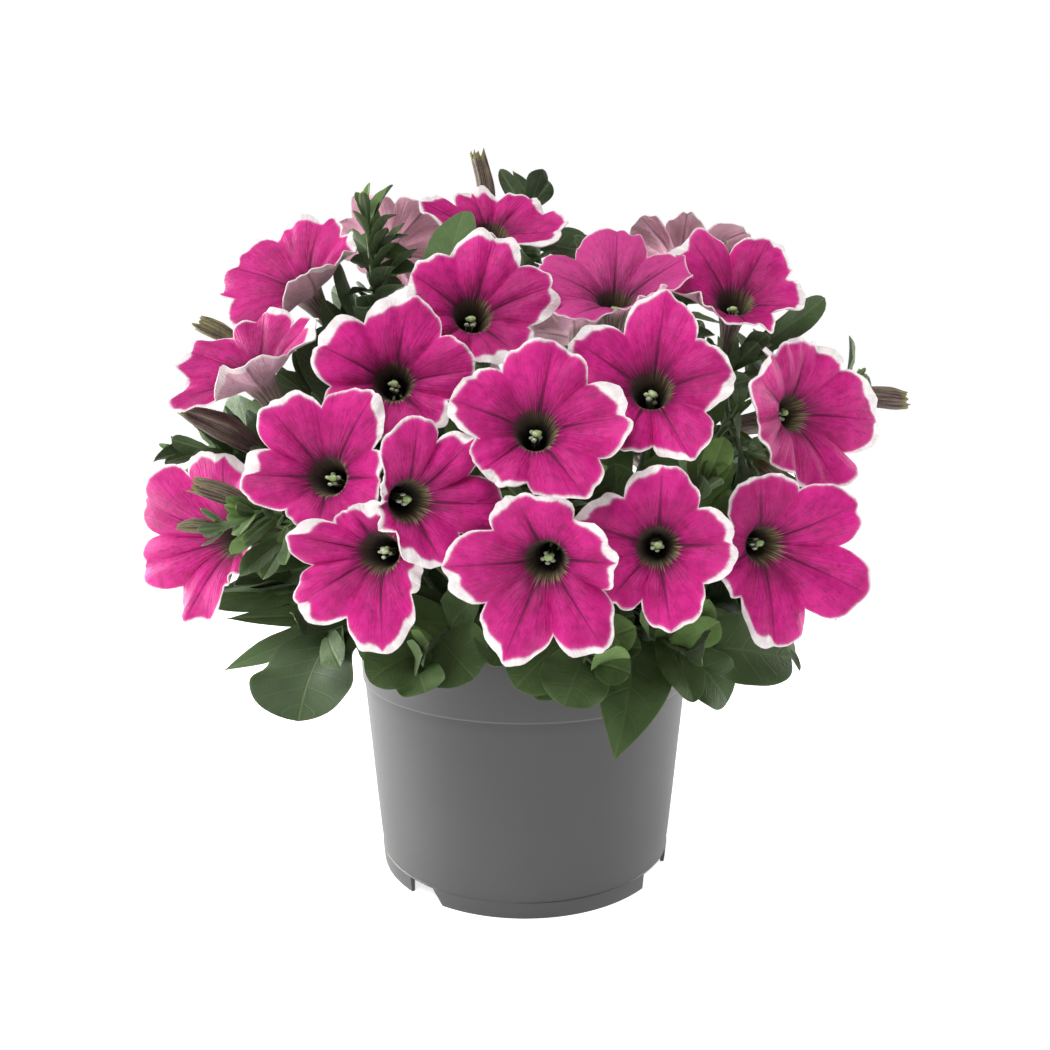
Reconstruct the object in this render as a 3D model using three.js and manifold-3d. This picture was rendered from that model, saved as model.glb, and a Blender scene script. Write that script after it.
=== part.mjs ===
// Potted petunia: a plastic pot of soil with leafy stems and trumpet blooms.
// Millimetres, Z up, the origin on the ground under the middle of the pot.
// Directions are degrees from the front of the pot (-Y), turning toward +X.
import * as THREE from 'three';
import { mergeVertices } from 'three/addons/utils/BufferGeometryUtils.js';
import Module from 'manifold-3d';

const wasm = await Module();
wasm.setup();

// Pot
const FOOT_RADIUS = 57.0;
const WALL_TOP_RADIUS = 63.3;
const BAND_Z = 75.4;
const BAND_RADIUS = 64.0;
const RIM_RADIUS = 65.0;
const RIM_Z = 98.0;
const WALL = 1.5;
const FLOOR_UNDERSIDE = 6.6;
const FLOOR_THICKNESS = 1.6;
const FOOT_LINE_Z = 6.2;
const FOOT_STEP = 0.3;
const POT_SEGMENTS = 36;
const NOTCH_HEIGHT = 6.0;
// Notches of the foot: middle direction, width in degrees, slant of the second side
const NOTCHES = [[-40, 16, 4], [63, 24, 0], [140, 16, 4], [-117, 24, 0]];
const DRAIN_HOLES = 5;
const DRAIN_RADIUS = 4.0;
const DRAIN_CIRCLE = 34.0;

// Soil
const SOIL_TOP = 85.0;
const SOIL_CROWN = 3.0;
const SOIL_LUMP = 1.1;
const SOIL_GAP = 0.35;
const SOIL_SEGMENTS = 20;
const ROOT_DEPTH = 9.0;
const ROOT_GAP = 1.3;
const FIT_GAP = 0.35;

// Blooms
const EYE_RADIUS = 6.2;
const TUBE_LENGTH = 26.0;
const PETAL = 0.7;
const FLARE = 55.0;
const LOBE_ROUND = 0.57;
const LOBE_TIP = 0.03;
const PROFILE_STEPS = 12;

// Stems and leaves
const STEM_SIDES = 5;
const STEM_STEPS = 6;
const BRANCH_STEPS = 4;
const STALK_STEPS = 2;
const STALK_SIDES = 5;
const CUP_TURN = 20;
const BLOOM_CUP = { reach: 8.2, rise: 4.4 };
const BUD_CUP = { reach: 6.8, rise: 4.6 };
const LOW_LEAVES = { from: 0.4, to: 0.97, count: 4, size: 46, rows: 3 };
const RIM_ROWS = 4;
const RIM_FOLD = 0.2;
const RIM_WAVE = 0.14;
const MAIN_LEAVES = { from: 0.56, to: 0.97, count: 3, size: 36, rows: 3 };
const LEAF = 0.8;
const LEAF_COLUMNS = [-1, -0.5, 0, 0.5, 1];
const LEAF_SHARES = [0, 1, 2, 3, 4, 5, 6, 7].map((i) => i / 7);
const LEAF_CROWD = 1.35;
const CLEAR_LEAF = 2.6;
const CLEAR_OWN = 1.4;
const ROOT_ZONE = 9.0;
const CLEAR_PETAL = 3.2;

// Colours
const POT_GREY = 0x9b9894;
const SOIL_BROWN = 0x3a2c22;
const LEAF_GREEN = 0x46553a;
const PETAL_PINK = 0xbe327c;
const BUD_PURPLE = 0x5e4a4e;

const deg = THREE.MathUtils.degToRad;
const V = (x, y, z) => new THREE.Vector3(x, y, z);

// Blooms: name, stem, place along the stem, middle of the eye, direction and rise of
// the facing, then five lobes as angle about the facing, reach and forward bend.
const BLOOMS = [
  ['01', 1, 0.80, [3, -98, 177], 0, 23,
    [[12, 28, 0], [86, 30, 0], [148, 28, 12], [-132, 22.5, 12], [-73, 28, 0]]],
  ['02', 2, 0.80, [-17, -58, 211], 10, 25,
    [[18, 31, -5], [76, 30.5, 0], [142, 23, 0], [-134, 20.5, 0], [-58, 25, -5]]],
  ['03', 2, 0.62, [-41, -72, 190], 4, 14,
    [[12, 29, -5], [84, 25.5, 0], [139, 23, 0], [-126, 25, 0], [-64, 29, -5]]],
  ['04', 3, 0.55, [-60, -84, 162], -10, 16,
    [[-41, 31, 0], [33, 32, 0], [92, 22, 20], [-177, 18, 10], [-92, 28, 0]]],
  ['05', 3, 0.40, [-33, -107, 158], 24, 2,
    [[4, 27, 0], [46, 28, -20], [94, 30, 0], [156, 22, 0], [-92, 9, 50]]],
  ['06', 2, 0.35, [-43, -96, 141], -12, 9,
    [[-34, 17, 5], [-80, 29, 0], [-126, 31, 0], [170, 32, 0], [100, 16, 0]]],
  ['07', 1, 0.55, [6, -108, 141], -8, 0,
    [[-22, 24.5, 20], [-92, 31, 0], [-158, 33, 0], [142, 32, 0], [87, 23, 20]]],
  ['08', 7, 0.60, [39, -98, 143], -6, 8,
    [[2, 26.5, 0], [86, 25, 0], [170, 27, 0], [-138, 23.5, 0], [-72, 28, 5]]],
  ['09', 8, 0.60, [38, -84, 188], -5, 26,
    [[8, 32, 0], [78, 27, 0], [156, 29.5, 0], [-158, 27, 10], [-62, 30, 0]]],
  ['10', 8, 0.80, [30, -45, 216], 0, 56,
    [[4, 33, 0], [60, 31, 0], [150, 22, 75], [-145, 30, 0], [-72, 28.5, 0]]],
  ['11', 9, 0.74, [72, -34, 216], -2, 44,
    [[-32, 34, 0], [30, 27.5, 0], [112, 26.5, 10], [172, 26, 45], [-122, 26, 60]]],
  ['12', 9, 0.60, [91, -42, 179], 32, 10,
    [[-66, 34, 20], [10, 27, 0], [99, 35, 0], [158, 31.5, 0], [-122, 27, 10]]],
  ['13', 9, 0.36, [77, -68, 138], 14, 4,
    [[-10, 29, 0], [66, 34, 0], [117, 37, 0], [180, 34.5, 0], [-113, 22, 20]]],
  ['14', 4, 0.50, [-101, -46, 136], -36, 4,
    [[10, 33, 0], [-74, 39, 0], [-110, 40, 0], [-158, 33, 0], [130, 18, 50]]],
  ['15', 4, 0.72, [-90, -46, 191], -30, 50,
    [[-144, 30, 5], [-84, 29, 5], [-18, 30, 5], [48, 31, 10], [130, 28, 80]]],
  ['16', 5, 0.62, [-82, -2, 222], -30, 42,
    [[-84, 33, 5], [-7, 32, 5], [60, 29, 10], [118, 32, 80], [-160, 26, 0]]],
  ['17', 6, 0.80, [-13, 0, 243], 10, 50,
    [[-80, 29, 15], [-16, 22, 15], [48, 25, 10], [120, 33, 18], [-160, 24, 55]]],
  ['18', 5, 0.80, [-55, 34, 240], 172, 38,
    [[79, 27, 0], [20, 26, 0], [-48, 28, 0], [-115, 27, 0], [150, 25, 0]]],
  ['19', 10, 0.80, [63, 33, 236], 152, 55,
    [[-77, 28, 0], [-18, 25, 0], [32, 28, 0], [105, 26, 0], [-150, 26, 0]]],
];

// Blooms of the back: name, stem, place along the stem, middle of the eye, direction,
// rise and the turn of the first lobe
const BACK_BLOOMS = [
  ['20', 14, 0.66, [108, 34, 172], 104, 12, 10],
  ['21', 11, 0.62, [66, 94, 158], 146, 6, -14],
  ['22', 11, 0.84, [26, 84, 206], 165, 28, 22],
  ['23', 12, 0.60, [2, 106, 146], 182, 2, 4],
  ['24', 12, 0.84, [-34, 92, 190], 198, 22, 30],
  ['25', 13, 0.60, [-84, 74, 158], 228, 8, -20],
];
const BACK_LOBE_REACH = 28.5;

// Stems: number, foot in the soil, two shaping points and the growing tip,
// then the tip of the low side branch, or null
const STEMS = [
  [1, [0, -20], [0, -38, 118], [6, -58, 138], [14, -66, 154], [22, -88, 104]],
  [2, [-13, -16], [-22, -32, 130], [-30, -44, 170], [-28, -56, 214], [-34, -84, 104]],
  [3, [-20, -8], [-38, -24, 118], [-66, -52, 142], [-86, -76, 150], [-66, -60, 106]],
  [4, [-22, 4], [-48, -8, 124], [-90, -14, 160], [-124, -20, 164], [-92, -18, 104]],
  [5, [-14, 16], [-36, 12, 140], [-54, 6, 200], [-58, -6, 250], [-84, 34, 104]],
  [6, [0, 2], [-2, 10, 130], [-4, 30, 205], [3, 40, 262], null],
  [7, [12, -15], [26, -34, 112], [44, -62, 138], [57, -76, 158], [52, -76, 104]],
  [8, [20, -6], [32, -22, 130], [50, -28, 168], [78, -32, 200], [84, -34, 106]],
  [9, [22, 8], [52, 0, 120], [86, -10, 156], [124, -6, 190], [96, 10, 104]],
  [10, [12, 18], [28, 16, 140], [46, 16, 198], [78, 14, 234], [78, 56, 104]],
  [11, [8, 28], [22, 46, 122], [38, 66, 160], [45, 77, 205], [45, 84, 104]],
  [12, [-4, 30], [-8, 50, 118], [-12, 72, 148], [-20, 84, 190], [0, 94, 104]],
  [13, [-18, 28], [-36, 44, 118], [-60, 56, 150], [-76, 62, 190], [-46, 80, 104]],
  [14, [24, 20], [50, 26, 118], [78, 34, 150], [94, 30, 196], null],
];

// Buds: name, stem, place along the stem, seat, direction, rise, length, radius
const BUDS = [
  ['01', 6, 0.74, [-19, 38, 244], 0, 88, 34, 3.4],
  ['02', 9, 0.90, [110, -18, 181], 84, 3, 28, 3.6],
  ['03', 4, 0.80, [-90, -40, 165], -80, 29, 31, 4.6],
  ['04', 5, 0.55, [-109, 6, 202], -90, 28, 18, 3.4],
  ['05', 3, 0.90, [-87, -70, 151], -78, 22, 19, 3.2],
  ['06', 9, 0.66, [80, -38, 163], 62, -28, 24, 3.0],
  ['07', 3, 0.96, [-98, -74, 145], -86, 0, 12, 2.4],
];

// Leaves over the rim: stem, place along its side branch, tip, width, arch and taper
const RIM_LEAVES = [
  [3, 0.95, [-83, -84, 87], 34, 7, 0],
  [3, 0.85, [-103, -56, 95], 15, 4, 1],
  [3, 0.70, [-105, -44, 107], 9, 3, 1],
  [4, 0.95, [-113, -22, 109], 9, 3, 0],
  [4, 0.80, [-113, -44, 116], 19, 5, 0],
  [4, 0.60, [-104, -36, 117], 18, 5, 0],
  [3, 1.00, [-56, -94, 105], 10, 3, 0],
  [2, 0.85, [-48, -90, 99], 18, 6, 0],
  [2, 1.00, [-31, -88, 95], 16, 4, 0],
  [2, 0.72, [-16, -84, 98], 24, 7, 0],
  [1, 0.62, [-3, -84, 95], 22, 7, 0],
  [1, 0.85, [12, -92, 92], 22, 6, 0],
  [1, 1.00, [32, -94, 103], 12, 4, 0],
  [7, 0.60, [28, -90, 73], 25, 14, 1],
  [7, 0.80, [53, -86, 91], 14, 6, 0],
  [7, 0.95, [66, -74, 90], 15, 5, 0],
  [7, 0.90, [88, -60, 93], 24, 6, 0],
  [9, 0.70, [120, -8, 104], 8, 4, 0],
];

// Large leaves seen between the upper blooms: stem, place along it, tip, width, arch and taper
const CROWN_LEAVES = [
  [2, 0.96, [-21, -30, 247], 17, 5, 0],
  [6, 0.92, [25, 32, 244], 9, 4, 0],
  [6, 0.99, [-5, 40, 276], 6, 1, 1],
  [8, 0.98, [107, -20, 216], 15, 4, 0],
];

// Small whole-number random source; every draw is repeatable
function randomSource(seed) {
  let state = seed >>> 0;
  return () => {
    state = (state + 0x6d2b79f5) >>> 0;
    let t = state;
    t = Math.imul(t ^ (t >>> 15), t | 1);
    t ^= t + Math.imul(t ^ (t >>> 7), t | 61);
    return ((t ^ (t >>> 14)) >>> 0) / 4294967296;
  };
}

function geometryFromLists(points, faces) {
  const geometry = new THREE.BufferGeometry();
  geometry.setAttribute('position', new THREE.Float32BufferAttribute(points.flat(), 3));
  geometry.setIndex(faces.flat());
  return geometry;
}

function solidFromGeometry(geometry) {
  const bare = new THREE.BufferGeometry();
  bare.setAttribute('position', geometry.getAttribute('position'));
  if (geometry.index) {
    bare.setIndex(geometry.index);
  }
  const merged = mergeVertices(bare, 1e-4);
  const index = merged.index.array;
  const kept = [];
  for (let i = 0; i < index.length; i += 3) {
    const [a, b, c] = [index[i], index[i + 1], index[i + 2]];
    if (a !== b && b !== c && c !== a) {
      kept.push(a, b, c);
    }
  }
  const mesh = new wasm.Mesh({
    numProp: 3,
    vertProperties: new Float32Array(merged.getAttribute('position').array),
    triVerts: new Uint32Array(kept),
  });
  return new wasm.Manifold(mesh);
}

function fuse(solids) {
  return solids.reduce((sum, solid) => sum.add(solid));
}

function meshFromSolid(solid, name, color, roughness) {
  const data = solid.getMesh();
  const geometry = new THREE.BufferGeometry();
  geometry.setAttribute('position', new THREE.BufferAttribute(data.vertProperties, 3));
  geometry.setIndex(new THREE.BufferAttribute(data.triVerts, 1));
  geometry.computeVertexNormals();
  const material = new THREE.MeshStandardMaterial({ color, roughness, metalness: 0.0 });
  const mesh = new THREE.Mesh(geometry, material);
  mesh.name = name;
  return mesh;
}

// A body of revolution about Z from [radius, z] pairs that start and end on the axis
function revolve(profile, segments) {
  const points = profile.map(([r, z]) => new THREE.Vector2(r, z));
  const geometry = new THREE.LatheGeometry(points, segments);
  geometry.rotateX(Math.PI / 2);
  return geometry;
}

function outward(degrees) {
  const a = deg(degrees);
  return V(Math.sin(a), -Math.cos(a), 0);
}

// Facing frame: right, up and forward for a direction and a rise
function facing(direction, rise) {
  const out = outward(direction);
  const e = deg(rise);
  const forward = V(out.x * Math.cos(e), out.y * Math.cos(e), Math.sin(e));
  const up = V(0, 0, 1).addScaledVector(forward, -forward.z).normalize();
  const right = up.clone().cross(forward);
  return { right, up, forward };
}

// Pot
function wallRadius(z) {
  return FOOT_RADIUS + (WALL_TOP_RADIUS - FOOT_RADIUS) * z / BAND_Z;
}

function buildPot() {
  const floorTop = FLOOR_UNDERSIDE + FLOOR_THICKNESS;
  const profile = [
    [0, FLOOR_UNDERSIDE],
    [wallRadius(FLOOR_UNDERSIDE) - WALL, FLOOR_UNDERSIDE],
    [wallRadius(0) - WALL, 0],
    [wallRadius(0), 0],
    [wallRadius(FOOT_LINE_Z), FOOT_LINE_Z],
    [wallRadius(FOOT_LINE_Z) - FOOT_STEP, FOOT_LINE_Z + FOOT_STEP],
    [WALL_TOP_RADIUS, BAND_Z - 0.4],
    [BAND_RADIUS, BAND_Z],
    [RIM_RADIUS, RIM_Z - 0.8],
    [RIM_RADIUS - 0.8, RIM_Z],
    [RIM_RADIUS - 1.6, RIM_Z - 0.3],
    [WALL_TOP_RADIUS - WALL, BAND_Z],
    [wallRadius(floorTop) - WALL, floorTop],
    [0, floorTop],
  ];
  let solid = solidFromGeometry(revolve(profile, POT_SEGMENTS));
  for (const [middle, width, slant] of NOTCHES) {
    const half = FOOT_RADIUS * Math.tan(deg(width / 2));
    const shape = new THREE.Shape();
    shape.moveTo(-half, -1);
    shape.lineTo(half, -1);
    shape.lineTo(half - slant, NOTCH_HEIGHT);
    shape.lineTo(-half, NOTCH_HEIGHT);
    shape.closePath();
    const geometry = new THREE.ExtrudeGeometry(shape, { depth: 9, bevelEnabled: false });
    geometry.rotateX(Math.PI / 2);
    geometry.translate(0, -FOOT_RADIUS + 5, 0);
    geometry.rotateZ(deg(middle));
    solid = solid.subtract(solidFromGeometry(geometry));
  }
  for (let i = 0; i < DRAIN_HOLES; i += 1) {
    const spot = outward(36 + 360 * i / DRAIN_HOLES).multiplyScalar(DRAIN_CIRCLE);
    const geometry = new THREE.CylinderGeometry(DRAIN_RADIUS, DRAIN_RADIUS, 6, 8);
    geometry.rotateX(Math.PI / 2);
    geometry.translate(spot.x, spot.y, FLOOR_UNDERSIDE);
    solid = solid.subtract(solidFromGeometry(geometry));
  }
  return solid;
}

// Soil with a crowned, lumpy top and one plain hole for each stem
function soilHeight(x, y) {
  const r = Math.hypot(x, y) / WALL_TOP_RADIUS;
  const lumps = Math.sin(0.31 * x + 1.0) * Math.cos(0.27 * y) + 0.6 * Math.sin(0.53 * x - 0.47 * y);
  return SOIL_TOP + SOIL_CROWN * (1 - r * r) + SOIL_LUMP * lumps;
}

function buildSoil() {
  const bottom = FLOOR_UNDERSIDE + FLOOR_THICKNESS + SOIL_GAP;
  const lowRadius = wallRadius(bottom) - WALL - SOIL_GAP;
  const bandRadius = WALL_TOP_RADIUS - WALL - SOIL_GAP;
  const edge = bandRadius + 0.35;
  const profile = [[0, bottom], [lowRadius, bottom], [bandRadius - 0.1, BAND_Z - 1]];
  for (const share of [1, 0.75, 0.4, 0]) {
    profile.push([edge * share, SOIL_TOP]);
  }
  const geometry = revolve(profile, SOIL_SEGMENTS);
  const position = geometry.getAttribute('position');
  for (let i = 0; i < position.count; i += 1) {
    if (position.getZ(i) > SOIL_TOP - 0.01) {
      position.setZ(i, soilHeight(position.getX(i), position.getY(i)));
    }
  }
  let solid = solidFromGeometry(geometry);
  for (const [, foot] of STEMS) {
    const radius = stemRadius(0) + ROOT_GAP;
    const floor = SOIL_TOP - ROOT_DEPTH - FIT_GAP;
    const hole = new THREE.CylinderGeometry(radius, radius, 40, 6);
    hole.rotateX(Math.PI / 2);
    hole.translate(foot[0], foot[1], floor + 20);
    solid = solid.subtract(solidFromGeometry(hole));
  }
  return solid;
}

// Rings of points along a path; the frame is carried along without twist
function tubeRings(points, radii, sides, firstSide) {
  let side = firstSide;
  return points.map((p, i) => {
    const before = points[Math.max(i - 1, 0)];
    const after = points[Math.min(i + 1, points.length - 1)];
    const tangent = after.clone().sub(before).normalize();
    side = side.clone().addScaledVector(tangent, -side.dot(tangent)).normalize();
    const other = tangent.clone().cross(side);
    const ring = [];
    for (let k = 0; k < sides; k += 1) {
      const a = 2 * Math.PI * k / sides;
      const q = p.clone().addScaledVector(side, radii[i] * Math.cos(a));
      ring.push(q.addScaledVector(other, radii[i] * Math.sin(a)));
    }
    return ring;
  });
}

// A closed body through rings, with flat ends
function ringBody(rings) {
  const list = rings.flat().map((p) => [p.x, p.y, p.z]);
  const faces = [];
  let start = 0;
  for (let i = 0; i < rings.length - 1; i += 1) {
    const next = start + rings[i].length;
    stitch(faces, start, rings[i].length, next, rings[i + 1].length, false);
    start = next;
  }
  for (let k = 1; k < rings[0].length - 1; k += 1) {
    faces.push([0, k + 1, k]);
  }
  for (let k = 1; k < rings[rings.length - 1].length - 1; k += 1) {
    faces.push([start, start + k, start + k + 1]);
  }
  return outwardSolid(list, faces);
}

function sweep(points, radii, sides) {
  const direction = points[1].clone().sub(points[0]).normalize();
  const axis = Math.abs(direction.z) > 0.9 ? V(1, 0, 0) : V(0, 0, 1);
  return ringBody(tubeRings(points, radii, sides, axis.cross(direction).normalize()));
}

// Stems
function stemRadius(t) {
  return 2.3 - 1.3 * t;
}

function stemCurve([, foot, lower, upper, tip]) {
  const start = V(foot[0], foot[1], SOIL_TOP - ROOT_DEPTH);
  const rise = V(foot[0], foot[1], SOIL_TOP + 6);
  const route = [start, rise, V(...lower), V(...upper), V(...tip)];
  return routeAlong(new THREE.CatmullRomCurve3(route, false, 'centripetal'), STEM_STEPS);
}

// Straight pieces through points of a curve, read by the share of the pieces passed
function routeAlong(curve, steps) {
  const points = curve.getPoints(steps);
  const piece = (t) => Math.min(Math.floor(t * steps), steps - 1);
  return {
    points,
    at: (t) => points[piece(t)].clone().lerp(points[piece(t) + 1], t * steps - piece(t)),
    along: (t) => points[piece(t) + 1].clone().sub(points[piece(t)]).normalize(),
  };
}

function branchCurve(curve, branchTip) {
  const start = curve.at(0.3);
  const end = V(...branchTip);
  const middle = start.clone().lerp(end, 0.5);
  middle.z = Math.max(start.z, end.z) + 6;
  return routeAlong(new THREE.QuadraticBezierCurve3(start, middle, end), BRANCH_STEPS);
}

// Stalk from a stem to the seat of a bloom or a bud, ending along its facing
function stalkCurve(from, seat, forward) {
  const reach = from.distanceTo(seat);
  const leave = from.clone().addScaledVector(V(seat.x - from.x, seat.y - from.y, 0), 0.3);
  leave.z += 0.1 * reach;
  const arrive = seat.clone().addScaledVector(forward, -0.42 * reach);
  return routeAlong(new THREE.CubicBezierCurve3(from, leave, arrive, seat), STALK_STEPS);
}

// Blooms
function lobeAt(lobes, angle) {
  const sorted = lobes
    .map(([a, reach, bend]) => [((a % 360) + 360) % 360, reach, bend])
    .sort((p, q) => p[0] - q[0]);
  const at = ((angle % 360) + 360) % 360;
  let i = sorted.findIndex((lobe) => lobe[0] > at) - 1;
  if (i < 0) {
    i = sorted.length - 1;
  }
  const here = sorted[i];
  const next = sorted[(i + 1) % sorted.length];
  const gap = (next[0] - here[0] + 360) % 360;
  const t = ((at - here[0] + 360) % 360) / gap;
  const s = Math.sin(Math.PI * t / 2) ** 2;
  const d = deg(Math.min(t, 1 - t) * 72);
  const chord = LOBE_ROUND * Math.sin(d);
  const bow = Math.sqrt(Math.max((1 - LOBE_ROUND) ** 2 - chord * chord, 0));
  const point = LOBE_TIP * (Math.exp(-((d / deg(5)) ** 2)) - 1);
  const outline = LOBE_ROUND * Math.cos(d) + bow + point;
  return {
    reach: (here[1] * (1 - s) + next[1] * s) * outline,
    bend: here[2] * (1 - s) + next[2] * s,
  };
}

// Radius, height and slope of the limb from the eye (0) to the edge (1)
function limbProfile(lobes, angle) {
  const { reach, bend } = lobeAt(lobes, angle);
  const step = (reach - EYE_RADIUS) / PROFILE_STEPS;
  const profile = [];
  let radius = EYE_RADIUS;
  let height = 0;
  let before = null;
  for (let i = 0; i <= PROFILE_STEPS; i += 1) {
    const w = i / PROFILE_STEPS;
    const slope = deg(FLARE * (1 - w) ** 1.8 + bend * w ** 1.5);
    if (before !== null) {
      radius += step * (Math.cos(slope) + Math.cos(before)) / 2;
      height += step * (Math.sin(slope) + Math.sin(before)) / 2;
    }
    profile.push([radius, height, slope]);
    before = slope;
  }
  return profile;
}

function lobeAngles(lobes) {
  const tips = lobes.map((lobe) => ((lobe[0] % 360) + 360) % 360).sort((a, b) => a - b);
  const offset = tips.reduce((sum, tip, i) => sum + (tip - 72 * i) / 5, 0);
  const five = tips.map((tip, i) => offset + 72 * i);
  const ten = [];
  const twenty = [];
  tips.forEach((tip, i) => {
    const gap = (tips[(i + 1) % 5] - tip + 360) % 360;
    ten.push(tip, tip + gap / 2);
    twenty.push(tip, tip + gap / 4, tip + gap / 2, tip + 3 * gap / 4);
  });
  return { five, ten, twenty };
}

// Trumpet: a thin shell, open at the foot for the pistil
function buildCorolla(bloom) {
  const { five, ten, twenty } = lobeAngles(bloom.lobes);
  const middle = PROFILE_STEPS * 0.5;
  const rings = [
    five.map((a) => [a, 2.1, -TUBE_LENGTH, deg(84)]),
    ten.map((a) => [a, ...limbProfile(bloom.lobes, a)[0]]),
    ten.map((a) => [a, ...limbProfile(bloom.lobes, a)[middle]]),
    twenty.map((a) => [a, ...limbProfile(bloom.lobes, a)[PROFILE_STEPS]]),
  ];
  const list = [];
  const starts = [];
  for (const sense of [1, -1]) {
    for (const ring of rings) {
      starts.push(list.length);
      for (const [angle, radius, height, slope] of ring) {
        const r = radius - sense * PETAL / 2 * Math.sin(slope);
        const h = height + sense * PETAL / 2 * Math.cos(slope);
        const p = bloomPoint(bloom, angle, r, h);
        list.push([p.x, p.y, p.z]);
      }
    }
  }
  const faces = [];
  for (const sense of [0, 1]) {
    for (let k = 0; k < rings.length - 1; k += 1) {
      const low = starts[sense * rings.length + k];
      const high = starts[sense * rings.length + k + 1];
      stitch(faces, low, rings[k].length, high, rings[k + 1].length, sense === 0);
    }
  }
  const last = rings.length - 1;
  const rimFront = starts[last];
  const rimBack = starts[rings.length + last];
  stitch(faces, rimFront, 20, rimBack, 20, true);
  stitch(faces, starts[0], 5, starts[rings.length], 5, false);
  return outwardSolid(list, faces);
}

function bloomPoint(bloom, angle, radius, height) {
  const a = deg(angle);
  const { right, up, forward } = bloom.frame;
  const p = bloom.eye.clone().addScaledVector(forward, height);
  p.addScaledVector(up, radius * Math.cos(a));
  return p.addScaledVector(right, radius * Math.sin(a));
}

// Triangles between two rings; one has as many points as the other or twice as many
function stitch(faces, low, lowCount, high, highCount, front) {
  if (lowCount > highCount) {
    stitch(faces, high, highCount, low, lowCount, !front);
    return;
  }
  const ratio = highCount / lowCount;
  const add = (a, b, c) => faces.push(front ? [a, b, c] : [a, c, b]);
  for (let k = 0; k < lowCount; k += 1) {
    const a = low + k;
    const b = low + (k + 1) % lowCount;
    const c = high + (k * ratio) % highCount;
    const d = high + ((k + 1) * ratio) % highCount;
    if (ratio === 1) {
      add(a, c, d);
      add(a, d, b);
    } else {
      const m = high + k * ratio + 1;
      add(a, c, m);
      add(a, m, b);
      add(b, m, d);
    }
  }
}

// Green parts of a bloom in one body: stalk, cup of five sepals and the pistil
function buildGreens(item, cup, pistil) {
  const { right, up, forward } = item.frame;
  const around = (count, radius, height) => {
    const ring = [];
    for (let i = 0; i < count; i += 1) {
      const a = deg(CUP_TURN + 360 * i / count);
      const even = i % 2 === 0 || count === 5;
      const r = even ? radius[0] : radius[1];
      const h = even ? height[0] : height[1];
      const p = item.seat.clone().addScaledVector(forward, h);
      p.addScaledVector(up, r * Math.cos(a));
      ring.push(p.addScaledVector(right, r * Math.sin(a)));
    }
    return ring;
  };
  const path = item.stalk.points.slice(0, -1).reverse();
  path.unshift(item.seat.clone().addScaledVector(forward, -4.5));
  const first = up.clone().multiplyScalar(Math.cos(deg(CUP_TURN)));
  first.addScaledVector(right, Math.sin(deg(CUP_TURN)));
  const rings = tubeRings(path, [1.2, 1.0, 1.1], 5, first).reverse();
  rings.push(around(5, [1.9], [-2.7]));
  rings.push(around(10, [cup.reach, 2.9], [cup.rise, -1.0]));
  rings.push(around(10, [cup.reach - 0.4, 2.6], [cup.rise + 0.5, -0.4]));
  rings.push(around(5, [3.2], [-0.05]));
  rings.push(around(5, [0.6], [-0.05]));
  if (pistil) {
    rings.push(around(5, [0.6], [TUBE_LENGTH - 13.5]));
    rings.push(around(5, [1.9], [TUBE_LENGTH - 10.5]));
  }
  return ringBody(rings);
}

// A solid whose faces are turned outward whatever the sense of its frame
function outwardSolid(list, faces) {
  let volume = 0;
  for (const [a, b, c] of faces) {
    volume += V(...list[a]).dot(V(...list[b]).cross(V(...list[c])));
  }
  const turned = volume > 0 ? faces : faces.map(([a, b, c]) => [a, c, b]);
  return solidFromGeometry(geometryFromLists(list, turned));
}

// Leaf blade between a root and a tip: arched, folded along the midrib, waved edges
function leafGrid(leaf, shares, columns) {
  const { root, tip, lift, width, arch, fold, wave } = leaf;
  const chord = tip.clone().sub(root);
  const side = chord.clone().cross(lift).normalize();
  const above = side.clone().cross(chord).normalize();
  const control = root.clone().lerp(tip, 0.5).addScaledVector(above, arch);
  const curve = new THREE.QuadraticBezierCurve3(root, control, tip);
  const grid = [];
  for (const s of shares) {
    const centre = curve.getPoint(s);
    const tangent = curve.getTangent(s);
    const normal = side.clone().cross(tangent).normalize();
    const half = width / 2 * leafOutline(s, leaf.taper ?? 0);
    const row = [];
    for (const t of columns) {
      const p = centre.clone().addScaledVector(side, t * half * Math.cos(fold));
      p.addScaledVector(normal, Math.abs(t) * half * Math.sin(fold));
      p.addScaledVector(normal, t * wave * half * Math.sin(7.3 * s + wave * 9));
      row.push({ p, normal });
    }
    grid.push(row);
  }
  return grid;
}

// Half width of a blade over its largest: a narrow foot, and a blunt tip or one drawn out by taper
function leafOutline(s, taper) {
  const stalk = 0.13 * (1 - s);
  const end = (1 - s ** (2.6 - 1.2 * taper)) ** (0.6 + 0.55 * taper);
  return stalk + 1.68 * (1 + 0.6 * taper) * s ** 0.7 * end;
}

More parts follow.
